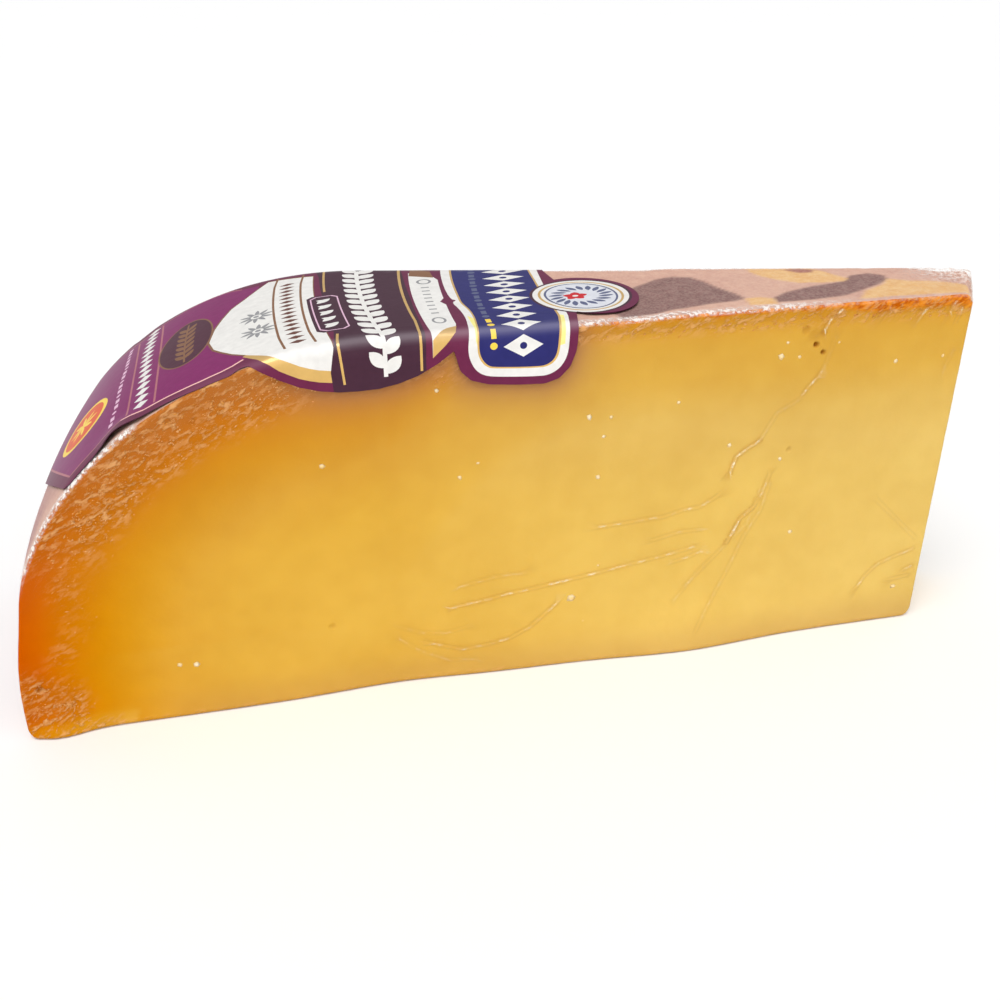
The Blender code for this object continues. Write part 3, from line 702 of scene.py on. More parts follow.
class CHEESE_OT_paste(bpy.types.Operator):
    """Build the cheese itself, with its rind, crumbs and crystals"""
    bl_idname = "cheese.paste"
    bl_label = "Cheese"

    def execute(self, context):
        look = context.scene.paste_look
        form = Form(PASTE_EDGE)
        gap = context.scene.wedge_sizes.paste_gap / MM
        crag = look.crag_depth / MM

        def cap_points(ring, back):
            low = ring.min(axis=0)
            high = ring.max(axis=0)
            crumbly = honeycomb(low, high, 0.55)
            crumbly = crumbly[crumb_cover(form, *crumbly.T) > 0.08]
            plain = honeycomb(low, high, 0.95)
            spots = np.concatenate((crumbly, plain[crumb_cover(form, *plain.T) <= 0.08]))
            if not back:
                holes = np.array(PITS)[:, :2]
                fine = honeycomb(holes.min(axis=0) - 2.0, holes.max(axis=0) + 2.0, 0.2)
                spots = np.concatenate((spots[near_pits(spots) > 1.2], fine[near_pits(fine) < 1.1]))
            spots = spots[inside(ring, spots)]
            return spots[distance_to(ring, spots) > 0.25], ()

        def face_y(spots, rim, back):
            place = np.column_stack((spots[:, 0], np.full(len(spots), 9.0 if back else 0.0), spots[:, 1]))
            cover = crumb_cover(form, *spots.T)
            waves = 0.12 + 0.12 * noise_at(place, 17.0) + 0.03 * noise_at(place, 4.0, 3.0)
            slanted = place * (0.6, 1.0, 1.15)
            rough = np.abs(noise_at(slanted, 1.5)) + 0.6 * np.abs(noise_at(slanted, 0.7, 5.0))
            depth = waves + crag * cover * rough
            for px, pz, radius, deep in PITS:
                far = np.hypot(spots[:, 0] - (150.0 - px if back else px), spots[:, 1] - pz) / radius
                depth += deep * np.exp(-far ** 4)
            return gap + depth * smooth(0.0, 1.4, rim)

        def sink(points, s, zone, nx, nz):
            flat = points.reshape(-1, 3)
            rough = 0.08 * np.abs(noise_at(flat, 2.2)) + 0.08 * np.abs(noise_at(flat, 9.0))
            rough = rough.reshape(points.shape[:2])
            tip = 0.55 * smooth(134.0, 141.0, points[..., 0]) * (nz > 0.3)
            return rough + tip

        step = {TIP: 1.3, TOP: 0.5, RIND: 0.7, BASE: 1.8}
        points, faces, zones, _ = shell(form, gap, step, 44, cap_points, face_y, sink)
        points = worn(points)
        middle = np.array([points[list(face)].mean(axis=0) for face in faces])
        inner = np.minimum(middle[:, 1], form.back_y(middle[:, 0]) - middle[:, 1]) > 0.5
        coated = (zones == TOP) | (zones == RIND) | ((zones == TIP) & (middle[:, 2] > 53.0))
        slots = np.where(coated & inner, 1, 0)
        thing = make_mesh("cheese_paste", points, faces, (paste_material(look), rind_material(look)), slots)
        add_values(thing, **self.cut_face_values(form, points), **self.coat_values(form, points))
        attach(thing, "root")
        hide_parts("cheese")
        self.crumbs(form, look, face_y)
        self.crystals(form, face_y)
        return {"FINISHED"}

    def cut_face_values(self, form, points):
        """What the paste's material reads: tone of the paste, crumbs, shade (painted shadow below the label
        and darker tints), painted shade in the small holes and the orange rim.
        """
        x, y, z = points.T
        d = form.from_rind(x, z)
        below = form.height - z
        fade = smooth(45.0, 88.0, x)
        reach = np.minimum(d + (12.0 + 3.2 * below - d) * fade, 43.0 + 0.5 * np.maximum(x - 50.0, 0.0))
        tone = (reach + 8.0 * (1.0 - smooth(0.5, 3.5, z)) * (x < 14.0)) / 90.0
        crumb = crumb_cover(form, x, z)
        soak = crumb * np.where(x > 60.0, 0.2, 0.25 + 0.35 * smooth(1.0, 5.0, z))
        # Shade: a painted shadow below the label's lower edge, darker paste towards the foot, a browner tint
        # in the crumbly curve by the rind and a faint darker tint higher up near the rind.
        under_label = distance_to_line(np.array(LABEL_HEM), np.column_stack((x, z)))
        shade = (0.85 * np.exp(-under_label / 2.6) * (z > 30.0)
                 + 0.28 * (1.0 - smooth(0.0, 7.0, z)) * smooth(8.0, 30.0, x)
                 + 0.5 * smooth(30.0, 46.0, z) * (1.0 - smooth(2.0, 7.0, d)) * (x < 60.0)
                 + 0.13 * smooth(15.0, 38.0, z) * (1.0 - smooth(16.0, 30.0, d)))
        # Painted shade inside the small holes, darker for deeper holes.
        pit = np.zeros(len(points))
        for px, pz, radius, deep in PITS:
            hollow = np.exp(-(np.hypot(x - px, z - pz) / radius) ** 4)
            pit = np.maximum(pit, 1.9 * (deep - 0.12) * hollow * (y < 5.0))
        from_edge = np.minimum(y, form.back_y(x) - y)
        strip = 0.9 + 1.5 * smooth(112.0, 124.0, x) + 0.5 * noise_at(points, 2.5, 4.0)
        rim = (1.0 - smooth(0.5 * strip, strip, below)) * (x > 60.0) * (1.0 - smooth(0.9, 1.3, from_edge))
        return {"tone": tone, "crumb": crumb, "soak": soak, "shade": np.clip(shade, 0.0, 0.9),
                "pit": np.clip(pit, 0.0, 1.0), "rim": np.clip(rim, 0.0, 1.0)}

    def coat_values(self, form, points):
        """What the rind's material reads: its mauve, peach and wine-red fields."""
        x, y, z = points.T
        spots = np.column_stack((x, y))
        on_top = smooth(53.4, 54.2, z) * (x > 60.0)
        wine = 0.75 * smooth(1.0, 9.0, y) * (1.0 - smooth(24.0, 44.0, z)) * (x < 12.0)
        return {"mauve": 0.95 * field_mask(MAUVE_FIELDS, spots, 0.35) * on_top,
                "peach": 0.9 * field_mask(PEACH_FIELDS, spots, 0.4) * on_top,
                "wine": np.maximum(wine, 0.8 * field_mask(DARK_STREAKS, spots, 0.4) * on_top)}

    def crumbs(self, form, look, face_y):
        """Small flakes of cheese that lie under the film by the edges of both cut faces."""
        dice = np.random.default_rng(11)
        shape = np.array(((1, 0, 0), (0, 0, 1), (-1, 0, 0), (0, 0, -1), (0, -1, 0)), float)
        sides = np.array(((0, 1, 4), (1, 2, 4), (2, 3, 4), (3, 0, 4), (2, 1, 0), (3, 2, 0)))
        points = []
        faces = []
        for back in (False, True):
            spots = dice.uniform((0.8, 0.5), (143.0, 54.2), (42000, 2))
            place = np.column_stack((spots[:, 0], np.full(len(spots), 30.0 * back), spots[:, 1]))
            bunch = np.clip(0.55 + 1.5 * noise_at(place, 1.7), 0.0, 1.0)
            keep = crumb_cover(form, *spots.T) ** 1.4 * bunch > dice.random(len(spots))
            keep &= spots[:, 0] < form.face_length - 0.8
            keep &= form.from_rind(spots[:, 0] - 2.0 * back, spots[:, 1]) > 0.5
            spots = spots[keep]
            count = len(spots)
            y = face_y(spots, np.full(count, 9.0), back) + 0.03
            turn = np.radians(dice.normal(28.0, 24.0, count))
            long = 0.15 + 0.32 * dice.random(count) ** 2
            wide = 0.06 + 0.09 * dice.random(count)
            tall = 0.04 + 0.05 * dice.random(count)
            chips = shape * np.stack((long, tall, wide), -1)[:, None]
            chips *= 1.0 + 0.2 * dice.uniform(-1.0, 1.0, chips.shape)
            c, d = np.cos(turn)[:, None], np.sin(turn)[:, None]
            turned = np.stack((chips[..., 0] * c - chips[..., 2] * d, chips[..., 1] + y[:, None],
                               chips[..., 0] * d + chips[..., 2] * c), -1)
            turned[..., 0] += spots[:, :1]
            turned[..., 2] += spots[:, 1:]
            if back:
                turned[..., 1] = form.back_y(turned[..., 0]) - turned[..., 1]
            start = len(points) * 5
            points += list(turned)
            links = sides[:, ::-1] if back else sides
            faces += (links[None] + start + 5 * np.arange(count)[:, None, None]).reshape(-1, 3).tolist()
        points = np.array(points).reshape(-1, 3)
        points[:, 2] = np.clip(points[:, 2], 0.15, 54.5)
        points = worn(points)
        thing = make_mesh("crumbs", points, faces, (crumb_material(look),))
        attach(thing, "root")

    def crystals(self, form, face_y):
        """Pale ripening crystals that show in both cut faces."""
        dice = random.Random(5)
        ball = [Vector(corner) for corner in ((0.0, -1.0, 0.0), (0.894, -0.447, 0.0), (0.276, -0.447, 0.851),
                                              (-0.724, -0.447, 0.526), (-0.724, -0.447, -0.526),
                                              (0.276, -0.447, -0.851))]
        points = []
        faces = []
        spots = [(x, z, size, False) for x, z, size in CRYSTALS]
        for _ in range(24):
            spots.append((dice.uniform(25.0, 140.0), dice.uniform(3.0, 50.0), dice.uniform(0.18, 0.45), True))
        for x, z, size, back in spots:
            first = len(points)
            level = float(face_y(np.array(((x, z),)), np.array((9.0,)), back)[0])
            for corner in ball:
                wobble = size * dice.uniform(0.8, 1.55)
                y = level + 0.07 + corner.y * 0.14
                if back:
                    y = float(form.back_y(x)) - y
                points.append((x + corner.x * wobble, y, z + corner.z * wobble))
            for i in range(5):
                side = (first, first + 1 + i, first + 1 + (i + 1) % 5)
                faces.append(side if back else tuple(reversed(side)))
            faces.append(tuple(first + k for k in ((5, 4, 3, 2, 1) if back else (1, 2, 3, 4, 5))))
        thing = make_mesh("crystals", np.array(points), faces, (crystal_material(),))
        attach(thing, "root")


# Film

# Creases of the film over the front face, in X and Z, with their height, which also sets how bright their
# painted highlight is.
CREASES = (
    (0.10, ((59.6, 12.8), (62.6, 13.2), (64.6, 13.4), (67.6, 14.0), (73.2, 14.6), (80.3, 15.6),
            (85.0, 16.3))),
    (0.08, ((87.6, 16.7), (91.8, 17.3), (97.1, 18.3))),
    (0.06, ((61.1, 16.3), (63.6, 16.8), (66.6, 17.3), (70.6, 17.3))),
    (0.10, ((56.4, 7.0), (61.4, 5.1), (65.5, 5.5), (68.6, 6.1), (71.7, 7.7), (74.3, 10.0), (75.8, 11.3))),
    (0.05, ((52.1, 10.7), (55.0, 9.2), (59.0, 8.5), (62.0, 9.2))),
    (0.05, ((52.0, 8.4), (55.4, 5.5), (59.3, 3.3), (63.4, 2.9))),
    (0.15, ((106.0, 35.1), (102.5, 32.8), (101.8, 30.4))),
    (0.08, ((100.0, 26.5), (97.5, 25.1), (94.9, 24.9), (91.8, 24.1), (87.2, 23.9), (81.6, 23.6))),
    (0.09, ((108.2, 29.4), (107.3, 26.2), (106.2, 24.1))),
    (0.17, ((106.2, 24.1), (104.2, 22.3), (103.4, 20.4), (102.4, 18.4))),
    (0.06, ((102.0, 17.7), (98.5, 14.3), (96.1, 11.4))),
    (0.06, ((108.4, 27.8), (107.4, 23.4), (105.1, 19.0), (103.0, 13.4), (100.7, 8.3), (98.4, 3.6))),
    (0.05, ((106.9, 26.8), (105.4, 21.3), (101.5, 17.2), (97.1, 12.4), (94.6, 9.2))),
    (0.07, ((90.5, 20.3), (92.1, 20.7), (94.7, 21.2), (97.9, 21.2))),
    (0.07, ((94.0, 16.1), (96.2, 16.6), (98.2, 17.3))),
    (0.10, ((135.0, 13.0), (132.9, 12.4), (129.1, 11.0), (127.1, 8.9), (126.2, 7.1))),
    (0.08, ((135.4, 9.8), (134.0, 9.2))),
    (0.08, ((135.0, 8.1), (132.6, 7.8))),
    (0.05, ((127.0, 22.8), (131.9, 18.1), (135.0, 15.2))),
    (0.12, ((116.1, 53.9), (114.6, 52.6), (113.9, 51.2))),
    (0.05, ((115.6, 49.7), (115.4, 48.8), (114.7, 45.9))),
    (0.11, ((113.8, 44.1), (112.7, 43.0), (111.9, 41.8))),
    (0.06, ((111.5, 41.0), (108.1, 39.1), (106.0, 35.1))),
    (0.10, ((123.6, 53.8), (122.5, 52.4))),
    (0.10, ((130.0, 53.9), (129.0, 52.4))),
    (0.10, ((134.0, 53.9), (133.4, 52.4))),
    (0.10, ((135.2, 52.8), (134.6, 51.0))),
    (0.06, ((134.2, 44.0), (135.2, 46.6))),
)


def refine(line, step):
    """The line with points at most step apart."""
    line = np.asarray(line, float)
    rows = []
    for a, b in zip(line[:-1], line[1:]):
        count = max(1, int(math.ceil(np.hypot(*(b - a)) / step)))
        rows += [a + (b - a) * k / count for k in range(count)]
    rows.append(line[-1])
    return np.array(rows)


def sideways(line):
    """Unit vectors across the line at each of its points."""
    way = np.gradient(line, axis=0)
    return np.column_stack((-way[:, 1], way[:, 0])) / np.hypot(*way.T)[:, None]


def cut_corners(line):
    """The closed line with its corners cut twice, which rounds them."""
    line = np.asarray(line, float)
    for _ in range(2):
        after = np.roll(line, -1, axis=0)
        line = np.stack((0.75 * line + 0.25 * after, 0.25 * line + 0.75 * after), 1).reshape(-1, 2)
    return line


class CHEESE_OT_film(bpy.types.Operator):
    """Build the clear film that is stretched round the cheese"""
    bl_idname = "cheese.film"
    bl_label = "Clear film"

    def execute(self, context):
        form = Form(FILM_EDGE)
        lines = [(height, refine(line, 0.6)) for height, line in CREASES]

        def crease_lines(back):
            """Creases of one cut face. The back face has those of the front, turned round."""
            if not back:
                return lines
            return [(height, np.array((150.0, 55.0)) - line * (0.98, 1.0)) for height, line in lines]

        def cap_points(ring, back):
            low = ring.min(axis=0)
            high = ring.max(axis=0)
            spots = honeycomb(low, high, 2.2)
            near = np.full(len(spots), 99.0)
            rows = []
            for _, line in crease_lines(back):
                for point in line:
                    near = np.minimum(near, np.hypot(*(spots - point).T))
                rows += [line + sideways(line) * offset for offset in (-0.6, -0.3, -0.15, 0.0, 0.15, 0.3, 0.6)]
            spots = spots[near > 1.3]
            hem = honeycomb(low, high, 0.55)
            hem = hem[inside(ring, hem)]
            hem = hem[distance_to(ring, hem) < 1.5]
            spots = np.concatenate([spots, hem] + rows)
            spots = spots[inside(ring, spots)]
            return spots[distance_to(ring, spots) > 0.22], ()

        def face_y(spots, rim, back):
            place = np.column_stack((spots[:, 0], np.full(len(spots), 4.0 if back else 0.0), spots[:, 1]))
            depth = 0.10 + 0.035 * noise_at(place, 13.0) * smooth(0.0, 3.0, rim)
            for height, line in crease_lines(back):
                near = distance_to_line(line, spots)
                ends = np.minimum(np.hypot(*(spots - line[0]).T), np.hypot(*(spots - line[-1]).T))
                depth -= height * np.exp(-(near / 0.22) ** 2) * smooth(0.0, 1.5, ends + 0.3)
            pleats = np.abs(noise_at(place, 0.9, 2.0)) * (1.0 - smooth(0.4, 1.5, rim))
            return depth + 0.08 * pleats * smooth(0.0, 0.3, rim)

        def sink(points, s, zone, nx, nz):
            flat = points.reshape(-1, 3)
            width = form.back_y(flat[:, 0])
            rim = np.minimum(flat[:, 1], width - flat[:, 1]).reshape(points.shape[:2])
            pleats = np.abs(noise_at(flat * (1.0, 0.55, 1.0), 0.85)).reshape(points.shape[:2])
            hem = 1.0 - smooth(0.8, 1.8, rim)
            shallow = np.abs(noise_at(flat, 6.0)).reshape(points.shape[:2])
            bare = 1.0 - form.recess(s) / LABEL_RECESS
            tip = smooth(131.0, 139.0, points[..., 0]) * (nz > 0.3)
            crumple = np.abs(noise_at(flat * (0.6, 1.4, 1.0), 3.2, 7.0)).reshape(points.shape[:2])
            depth = 0.08 * pleats * hem + 0.03 * shallow + 0.8 * tip * crumple
            return depth * (0.25 + 0.75 * bare) * (nz > -0.5)

        step = {TIP: 1.5, TOP: 0.38, RIND: 0.38, BASE: 2.5}
        points, faces, _, facts = shell(form, FILM_DEPTH, step, 30, cap_points, face_y, sink)
        points = worn(points)
        on_face = facts[:, 5] < 0.0
        painted_glint, furrow = self.crease_values(points, on_face, crease_lines)
        thing = make_mesh("film", points, faces, (film_material(),))
        hem = self.hem_glint_values(form, points, on_face, facts[:, 4])
        add_values(thing, hem=hem, crinkle=painted_glint, furrow=furrow)
        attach(thing, "root")
        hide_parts("cheese")
        return {"FINISHED"}

    def hem_glint_values(self, form, points, on_face, s):
        """Where the film's small pleats, real folds in the mesh, get a painted whitish glint: at the bare long
        edges, and over the tip's top.
        """
        x, y, z = points.T
        rim = np.minimum(y, form.back_y(x) - y)
        deep = np.where(s > 60.0, 2.1, 1.5)
        fold = smooth(0.05, 0.25, rim) * (1.0 - smooth(0.5 * deep, deep, rim))
        fold *= ~on_face * np.where(y < 10.0, 1.0, 0.35)
        shoulder = smooth(-12.0, -6.0, s) * (1.0 - smooth(17.0, 19.0, s))
        top = smooth(77.0, 78.0, s) * (1.0 - 0.8 * smooth(104.0, 120.0, s))
        inset = smooth(4.0 - 4.0 * smooth(138.0, 141.0, x), 9.0, y)
        tip = 0.6 * smooth(130.0, 140.0, x) * (z > 53.0) * inset
        return np.clip(np.maximum(fold * (shoulder + 0.9 * top), tip), 0.0, 1.0)

    def crease_values(self, points, on_face, crease_lines):
        """How bright the painted highlight along each crease is, and how dark the painted shade in the thin
        lines beside it is.
        """
        x, y, z = points.T
        painted_glint = np.zeros(len(points))
        furrow = np.zeros(len(points))
        for back in (False, True):
            side = on_face & ((y > 10.0) == back)
            spots = np.column_stack((x, z))[side]
            for height, line in crease_lines(back):
                near = distance_to_line(line, spots)
                # Painted highlight along the crease, and painted shade in a line just beside it.
                glint = 11.0 * (height - 0.035) * np.exp(-(near / 0.15) ** 2)
                painted_glint[side] = np.maximum(painted_glint[side], glint)
                furrow[side] = np.maximum(furrow[side], 2.0 * height * np.exp(-((near - 0.34) / 0.15) ** 2))
        glow = np.clip(0.15 + 3.0 * noise_at(points, 1.3, 6.0), 0.06, 1.0)
        return np.clip(painted_glint * glow, 0.0, 1.0), np.clip(furrow, 0.0, 0.5)


# Label

# The front half of the label's border, in s and p, from its pointed end to its right end.
LABEL_SIDE = (
    (5.5, 0.8), (6.7, 0.5), (11.5, 0.6), (13.5, 0.9), (15.0, 1.8), (16.4, 1.7), (19.4, 0.9), (23.8, 0.4),
    (27.8, 0.0), (31.9, -0.1), (33.4, 0.35), (34.5, 0.3), (35.7, -1.1), (37.5, -2.8), (39.7, -4.4),
    (42.3, -5.6), (45.0, -6.3), (47.9, -6.6), (50.8, -6.6), (53.5, -6.1), (56.2, -5.2), (58.9, -3.7),
    (60.9, -2.2), (61.2, -3.3), (61.7, -5.1), (63.1, -6.5), (65.5, -7.25), (69.7, -7.65), (73.2, -7.8),
    (75.2, -7.2), (76.7, -5.7), (77.5, -3.6), (77.65, -2.4))
# Where the label's right side meets the back edge.
LABEL_RIGHT = 75.4
# The lobe for the seal: middle, half length and half width, and turn.
SEAL_LOBE = ((80.4, 11.8), 9.1, 6.4, math.radians(24.0))
SEAL = (79.7, 11.4)
SEAL_TURN = math.radians(18.4)

# Colours of the small print that have no property, as sRGB values. Sheen is a painted highlight, not print.
TINTS = {
    "pale_gold": (250, 196, 186), "pale_pink": (232, 190, 214), "wing_line": (178, 110, 118),
    "seed": (84, 46, 62), "sheen": (250, 240, 150), "bronze": (138, 100, 74), "grey": (150, 150, 152),
    "silver": (222, 224, 232), "slate": (96, 102, 134), "umber": (110, 72, 62), "red": (206, 44, 50),
    "orange": (226, 92, 44), "yellow": (250, 216, 84),
}


class Label:
    """The die-cut sheet, drawn flat in s and p. p runs across from the front edge, below zero on the
    front flap and above the width on the back flap."""

    def __init__(self, form):
        self.form = form
        self.fields = []
        self.fold = (form.edge + 0.2) * math.pi / 4

    def width(self, s):
        return float(self.form.width(s))

    def mirrored(self, chain):
        """Closed border from a chain on the front half and its mirror image on the back half."""
        chain = np.asarray(chain, float)
        back = np.column_stack((chain[:, 0], self.form.width(chain[:, 0]) - chain[:, 1]))
        return np.concatenate((chain, back[::-1]))

    def outline(self):
        side = np.array(LABEL_SIDE)
        back = np.column_stack((side[:, 0], self.form.width(side[:, 0]) - side[:, 1]))
        back[-1, 0] = LABEL_RIGHT
        lobe = self.oval(*SEAL_LOBE, -51.0, 180.0, 60).tolist()
        width = self.width(LABEL_RIGHT)
        right = [(77.7, -1.2), (77.8, 1.2)] + lobe + [(LABEL_RIGHT, width - 1.2), (LABEL_RIGHT, width + 1.4)]
        point = ((LABEL_POINT, self.width(LABEL_POINT) / 2),)
        closed = np.concatenate((side, right, back[::-1], point))
        return cut_corners(refine(np.concatenate((closed, closed[:1])), 0.8)[:-1])

    def oval(self, centre, long, short, turn, start, end, count):
        """Part of an oval whose long axis is turned from the p direction, with angles in degrees."""
        a = np.radians(np.linspace(start, end, count))
        across = long * np.cos(a)
        along = short * np.sin(a)
        return np.column_stack((centre[0] + across * math.sin(turn) + along * math.cos(turn),
                                centre[1] - across * math.cos(turn) + along * math.sin(turn)))

    def paint(self, name, border, step=0.9):
        """A field of one colour. Later fields lie over earlier ones."""
        border = np.asarray(border, float)
        self.fields.append((name, refine(np.concatenate((border, border[:1])), step)[:-1]))

    def line(self, name, chain, width):
        """A printed line of that width along the chain."""
        chain = refine(chain, 1.0)
        across = sideways(chain) * width / 2
        self.paint(name, np.concatenate((chain + across, (chain - across)[::-1])))

    def disc(self, name, s, p, rs, rp=None, count=40, turn=0.0):
        a = np.linspace(0.0, 2.0 * math.pi, count, endpoint=False) + turn
        rp = rp or rs
        self.paint(name, np.column_stack((s + rs * np.cos(a), p + rp * np.sin(a))), 5.0)

    def lozenge(self, name, s, p, half_s, half_p):
        self.paint(name, ((s - half_s, p), (s, p - half_p), (s + half_s, p), (s, p + half_p)), 1.0)

    def leaf(self, name, s, p, length, width, turn):
        """A pointed leaf that starts at s and p."""
        t = np.linspace(0.0, 1.0, 9)
        half = width / 2 * np.sin(math.pi * t) ** 0.8
        a = np.concatenate((np.column_stack((t * length, half)),
                            np.column_stack((t * length, -half))[-2:0:-1]))
        c, d = math.cos(turn), math.sin(turn)
        self.paint(name, np.column_stack((s + a[:, 0] * c - a[:, 1] * d, p + a[:, 0] * d + a[:, 1] * c)), 5.0)

    def draw(self):
        self.wing()
        self.wing_motifs()
        self.moon_panel()
        self.dark_band()
        self.garland()
        self.small_panel()
        self.plaque()
        self.seal()

    def wing(self):
        """The purple wing at the left, with a line that follows its pointed end."""
        middle = self.width(LABEL_POINT) / 2
        edge = ((-2.6, middle), (6.7, 2.4), (9.0, 2.5), (12.0, 2.6), (14.5, 3.2), (16.4, 4.0), (18.2, 3.3),
                (20.0, 2.4), (22.7, 2.0), (25.4, 1.5), (28.2, 1.15), (31.0, 1.2), (32.6, 1.6), (34.2, 2.5),
                (37.0, 3.0))
        self.paint("wing", self.mirrored(edge))
        self.line("wing_line", edge[:6], 0.3)
        self.line("pale_gold", edge[5:-1], 0.36)
        self.line("wing_line", [(s, self.width(s) - p) for s, p in edge[:-1]], 0.3)

    def wing_motifs(self):
        """An orange sun, a broken line, a row of lozenges and an oval with an ear of leaves."""
        s, p = 8.0, 16.6
        self.disc("yellow", s, p, 5.0, 5.5)
        self.disc("orange", s, p, 4.2, 4.8)
        for k in range(8):
            self.leaf("yellow", s, p, 3.0, 0.7, k * math.pi / 4)
        for k in range(17):
            p = 5.6 + k * 1.85
            s = 15.3 - 0.12 * max(0.0, 12.0 - p) - 0.1 * max(0.0, p - 26.0)
            if k % 3 == 2:
                self.disc("pale_pink", s, p, 0.4, count=12)
            else:
                self.line("pale_pink", ((s, p - 0.62), (s, p + 0.62)), 0.72)
        for s, bow, low in ((17.8, 1.1, 4.4), (22.2, 1.0, 2.8)):
            spots = np.linspace(low, self.width(s) - low, 24)
            self.line("wing_line", [(s - bow * ((p - 15.0) / 16.0) ** 2, p) for p in spots], 0.34)
        for k in range(15):
            p = 5.0 + k * 2.2
            self.lozenge("panel", 20.0 - 0.05 * abs(p - 14.0), p, 1.2, 1.0)
        s = 26.3
        self.disc("bronze", s, 19.0, 4.35, 9.1, turn=0.3)
        self.disc("seed", s, 19.0, 4.1, 8.8)
        for k in range(7):
            p = 12.4 + k * 1.9
            self.leaf("bronze", s, p, 2.5, 1.0, math.radians(55.0))
            self.leaf("bronze", s, p, 2.5, 1.0, math.radians(125.0))
        self.line("bronze", ((s, 11.0), (s, 27.0)), 0.3)

    def moon_panel(self):
        """The first white panel, with a gold moon below it."""
        rear = ((45.4, 3.0), (38.4, 2.2), (35.1, 8.6), (33.2, 11.6), (31.9, 15.4), (30.9, 18.9))
        panel = [(s, self.width(s) - p) for s, p in rear]
        panel += [(30.1, 13.8), (30.7, 10.3), (31.6, 8.4), (33.0, 5.9), (35.1, 3.2), (36.4, 1.9), (37.5, 0.7),
                  (38.5, -0.2), (39.5, -0.9), (40.6, -1.7), (41.7, -2.3), (42.9, -2.8), (44.4, -3.2),
                  (45.4, -3.2)]
        moon = ((34.2, 3.4), (35.3, 1.6), (36.3, 0.2), (37.0, -0.5), (37.9, -1.6), (39.0, -2.5), (40.1, -3.3),
                (41.3, -3.9), (42.6, -4.4), (44.2, -4.8), (45.4, -4.8), (45.4, 4.0), (37.0, 5.0))
        middle = (38.0, 14.0)
        rim = np.array(panel) - middle
        self.paint("bronze", (rim + 0.34 * rim / np.hypot(*rim.T)[:, None]) + middle)
        self.paint("gold", moon)
        self.paint("panel", panel)
        for s in (39.6, 43.6):
            width = self.width(s)
            self.line("bronze", ((s, 1.6), (s - 0.2, 6.0), (s, width - 6.0), (s + 0.3, width - 1.6)), 0.34)
        for k in range(16):
            self.lozenge("umber", 41.5, 3.2 + k * 1.75, 1.2, 0.6)
        for p in (11.4, 17.6):
            for k in range(10):
                self.leaf("grey", 37.0, p, 2.6, 0.66, k * math.pi / 5 + 0.2)
            self.disc("panel", 37.0, p, 0.8)
            self.disc("grey", 37.0, p, 0.42, count=14)

    def dark_band(self):
        """The dark band across the middle, with its gold lines and a small framed field of petals."""
        left = ((46.6, 15.0), (46.3, 4.0), (45.8, 1.0), (45.0, -1.5), (44.4, -3.5), (44.2, -8.0))
        right = ((57.2, -8.0), (57.2, -3.0), (57.3, 0.0), (57.6, 4.0), (57.9, 15.0))
        self.paint("band", self.mirrored(left + right))
        for low, high in ((-5.4, 3.2), (22.2, 38.0)):
            chain = [(46.0 + min(1.0, max(0.0, p / 5.0)), p) for p in np.linspace(low, high, 8)]
            self.line("gold", chain, 0.34)
        chain = [(56.6 + min(0.5, max(0.0, p / 10.0)), p) for p in np.linspace(-4.6, 34.0, 20)]
        self.line("gold", chain, 0.34)
        for name, grow in (("band", 0.0), ("pale_pink", 0.45), ("band", 0.65)):
            s0, s1, p0, p1 = 44.3 + grow, 49.2 - grow, 4.4 + grow, 20.6 - grow
            self.paint(name, ((s0, p0 + 0.8), (s0 + 0.8, p0), (s1 - 0.8, p0), (s1, p0 + 0.8), (s1, p1 - 0.8),
                              (s1 - 0.8, p1), (s0 + 0.8, p1), (s0, p1 - 0.8)))
        for k in range(5):
            self.leaf("panel", 45.6, 6.2 + k * 2.7, 2.6, 1.2, math.radians(40.0))
            self.leaf("panel", 45.6, 7.6 + k * 2.7, 1.8, 0.8, math.radians(-20.0))

    def garland(self):
        """A garland of bold leaves along the dark band."""
        s = 51.9
        self.line("panel", [(s, p) for p in np.linspace(-5.0, 31.5, 30)], 0.55)
        for k in range(14):
            p = -4.6 + k * 2.65
            self.leaf("panel", s, p, 3.1, 1.75, math.radians(48.0))
            self.leaf("panel", s, p + 0.8, 3.1, 1.75, math.radians(132.0))

    def small_panel(self):
        """The second white panel, with its gold corners, rings and short bars."""
        self.paint("panel", ((58.1, -2.9), (59.8, -1.4), (61.3, 0.3), (61.9, 3.0), (62.0, 11.6), (61.4, 13.1),
                             (62.0, 14.6), (61.9, 24.0), (61.0, 27.0), (58.3, 28.6)))
        self.paint("gold", ((58.1, -3.0), (59.8, -1.4), (61.3, 0.3), (61.8, 2.2), (60.4, 1.6), (58.2, -0.6)))
        self.paint("bronze", ((58.3, 27.0), (61.4, 25.4), (61.0, 29.0), (58.6, 31.0)))
        for p in (5.0, 23.5):
            self.disc("grey", 60.1, p, 0.95, 1.3, count=20)
            self.disc("panel", 60.1, p, 0.62, 0.95, count=20)
        for k in range(8):
            p = 8.2 + k * 1.75
            self.line("grey", ((59.6, p), (60.6, p)), 0.42)

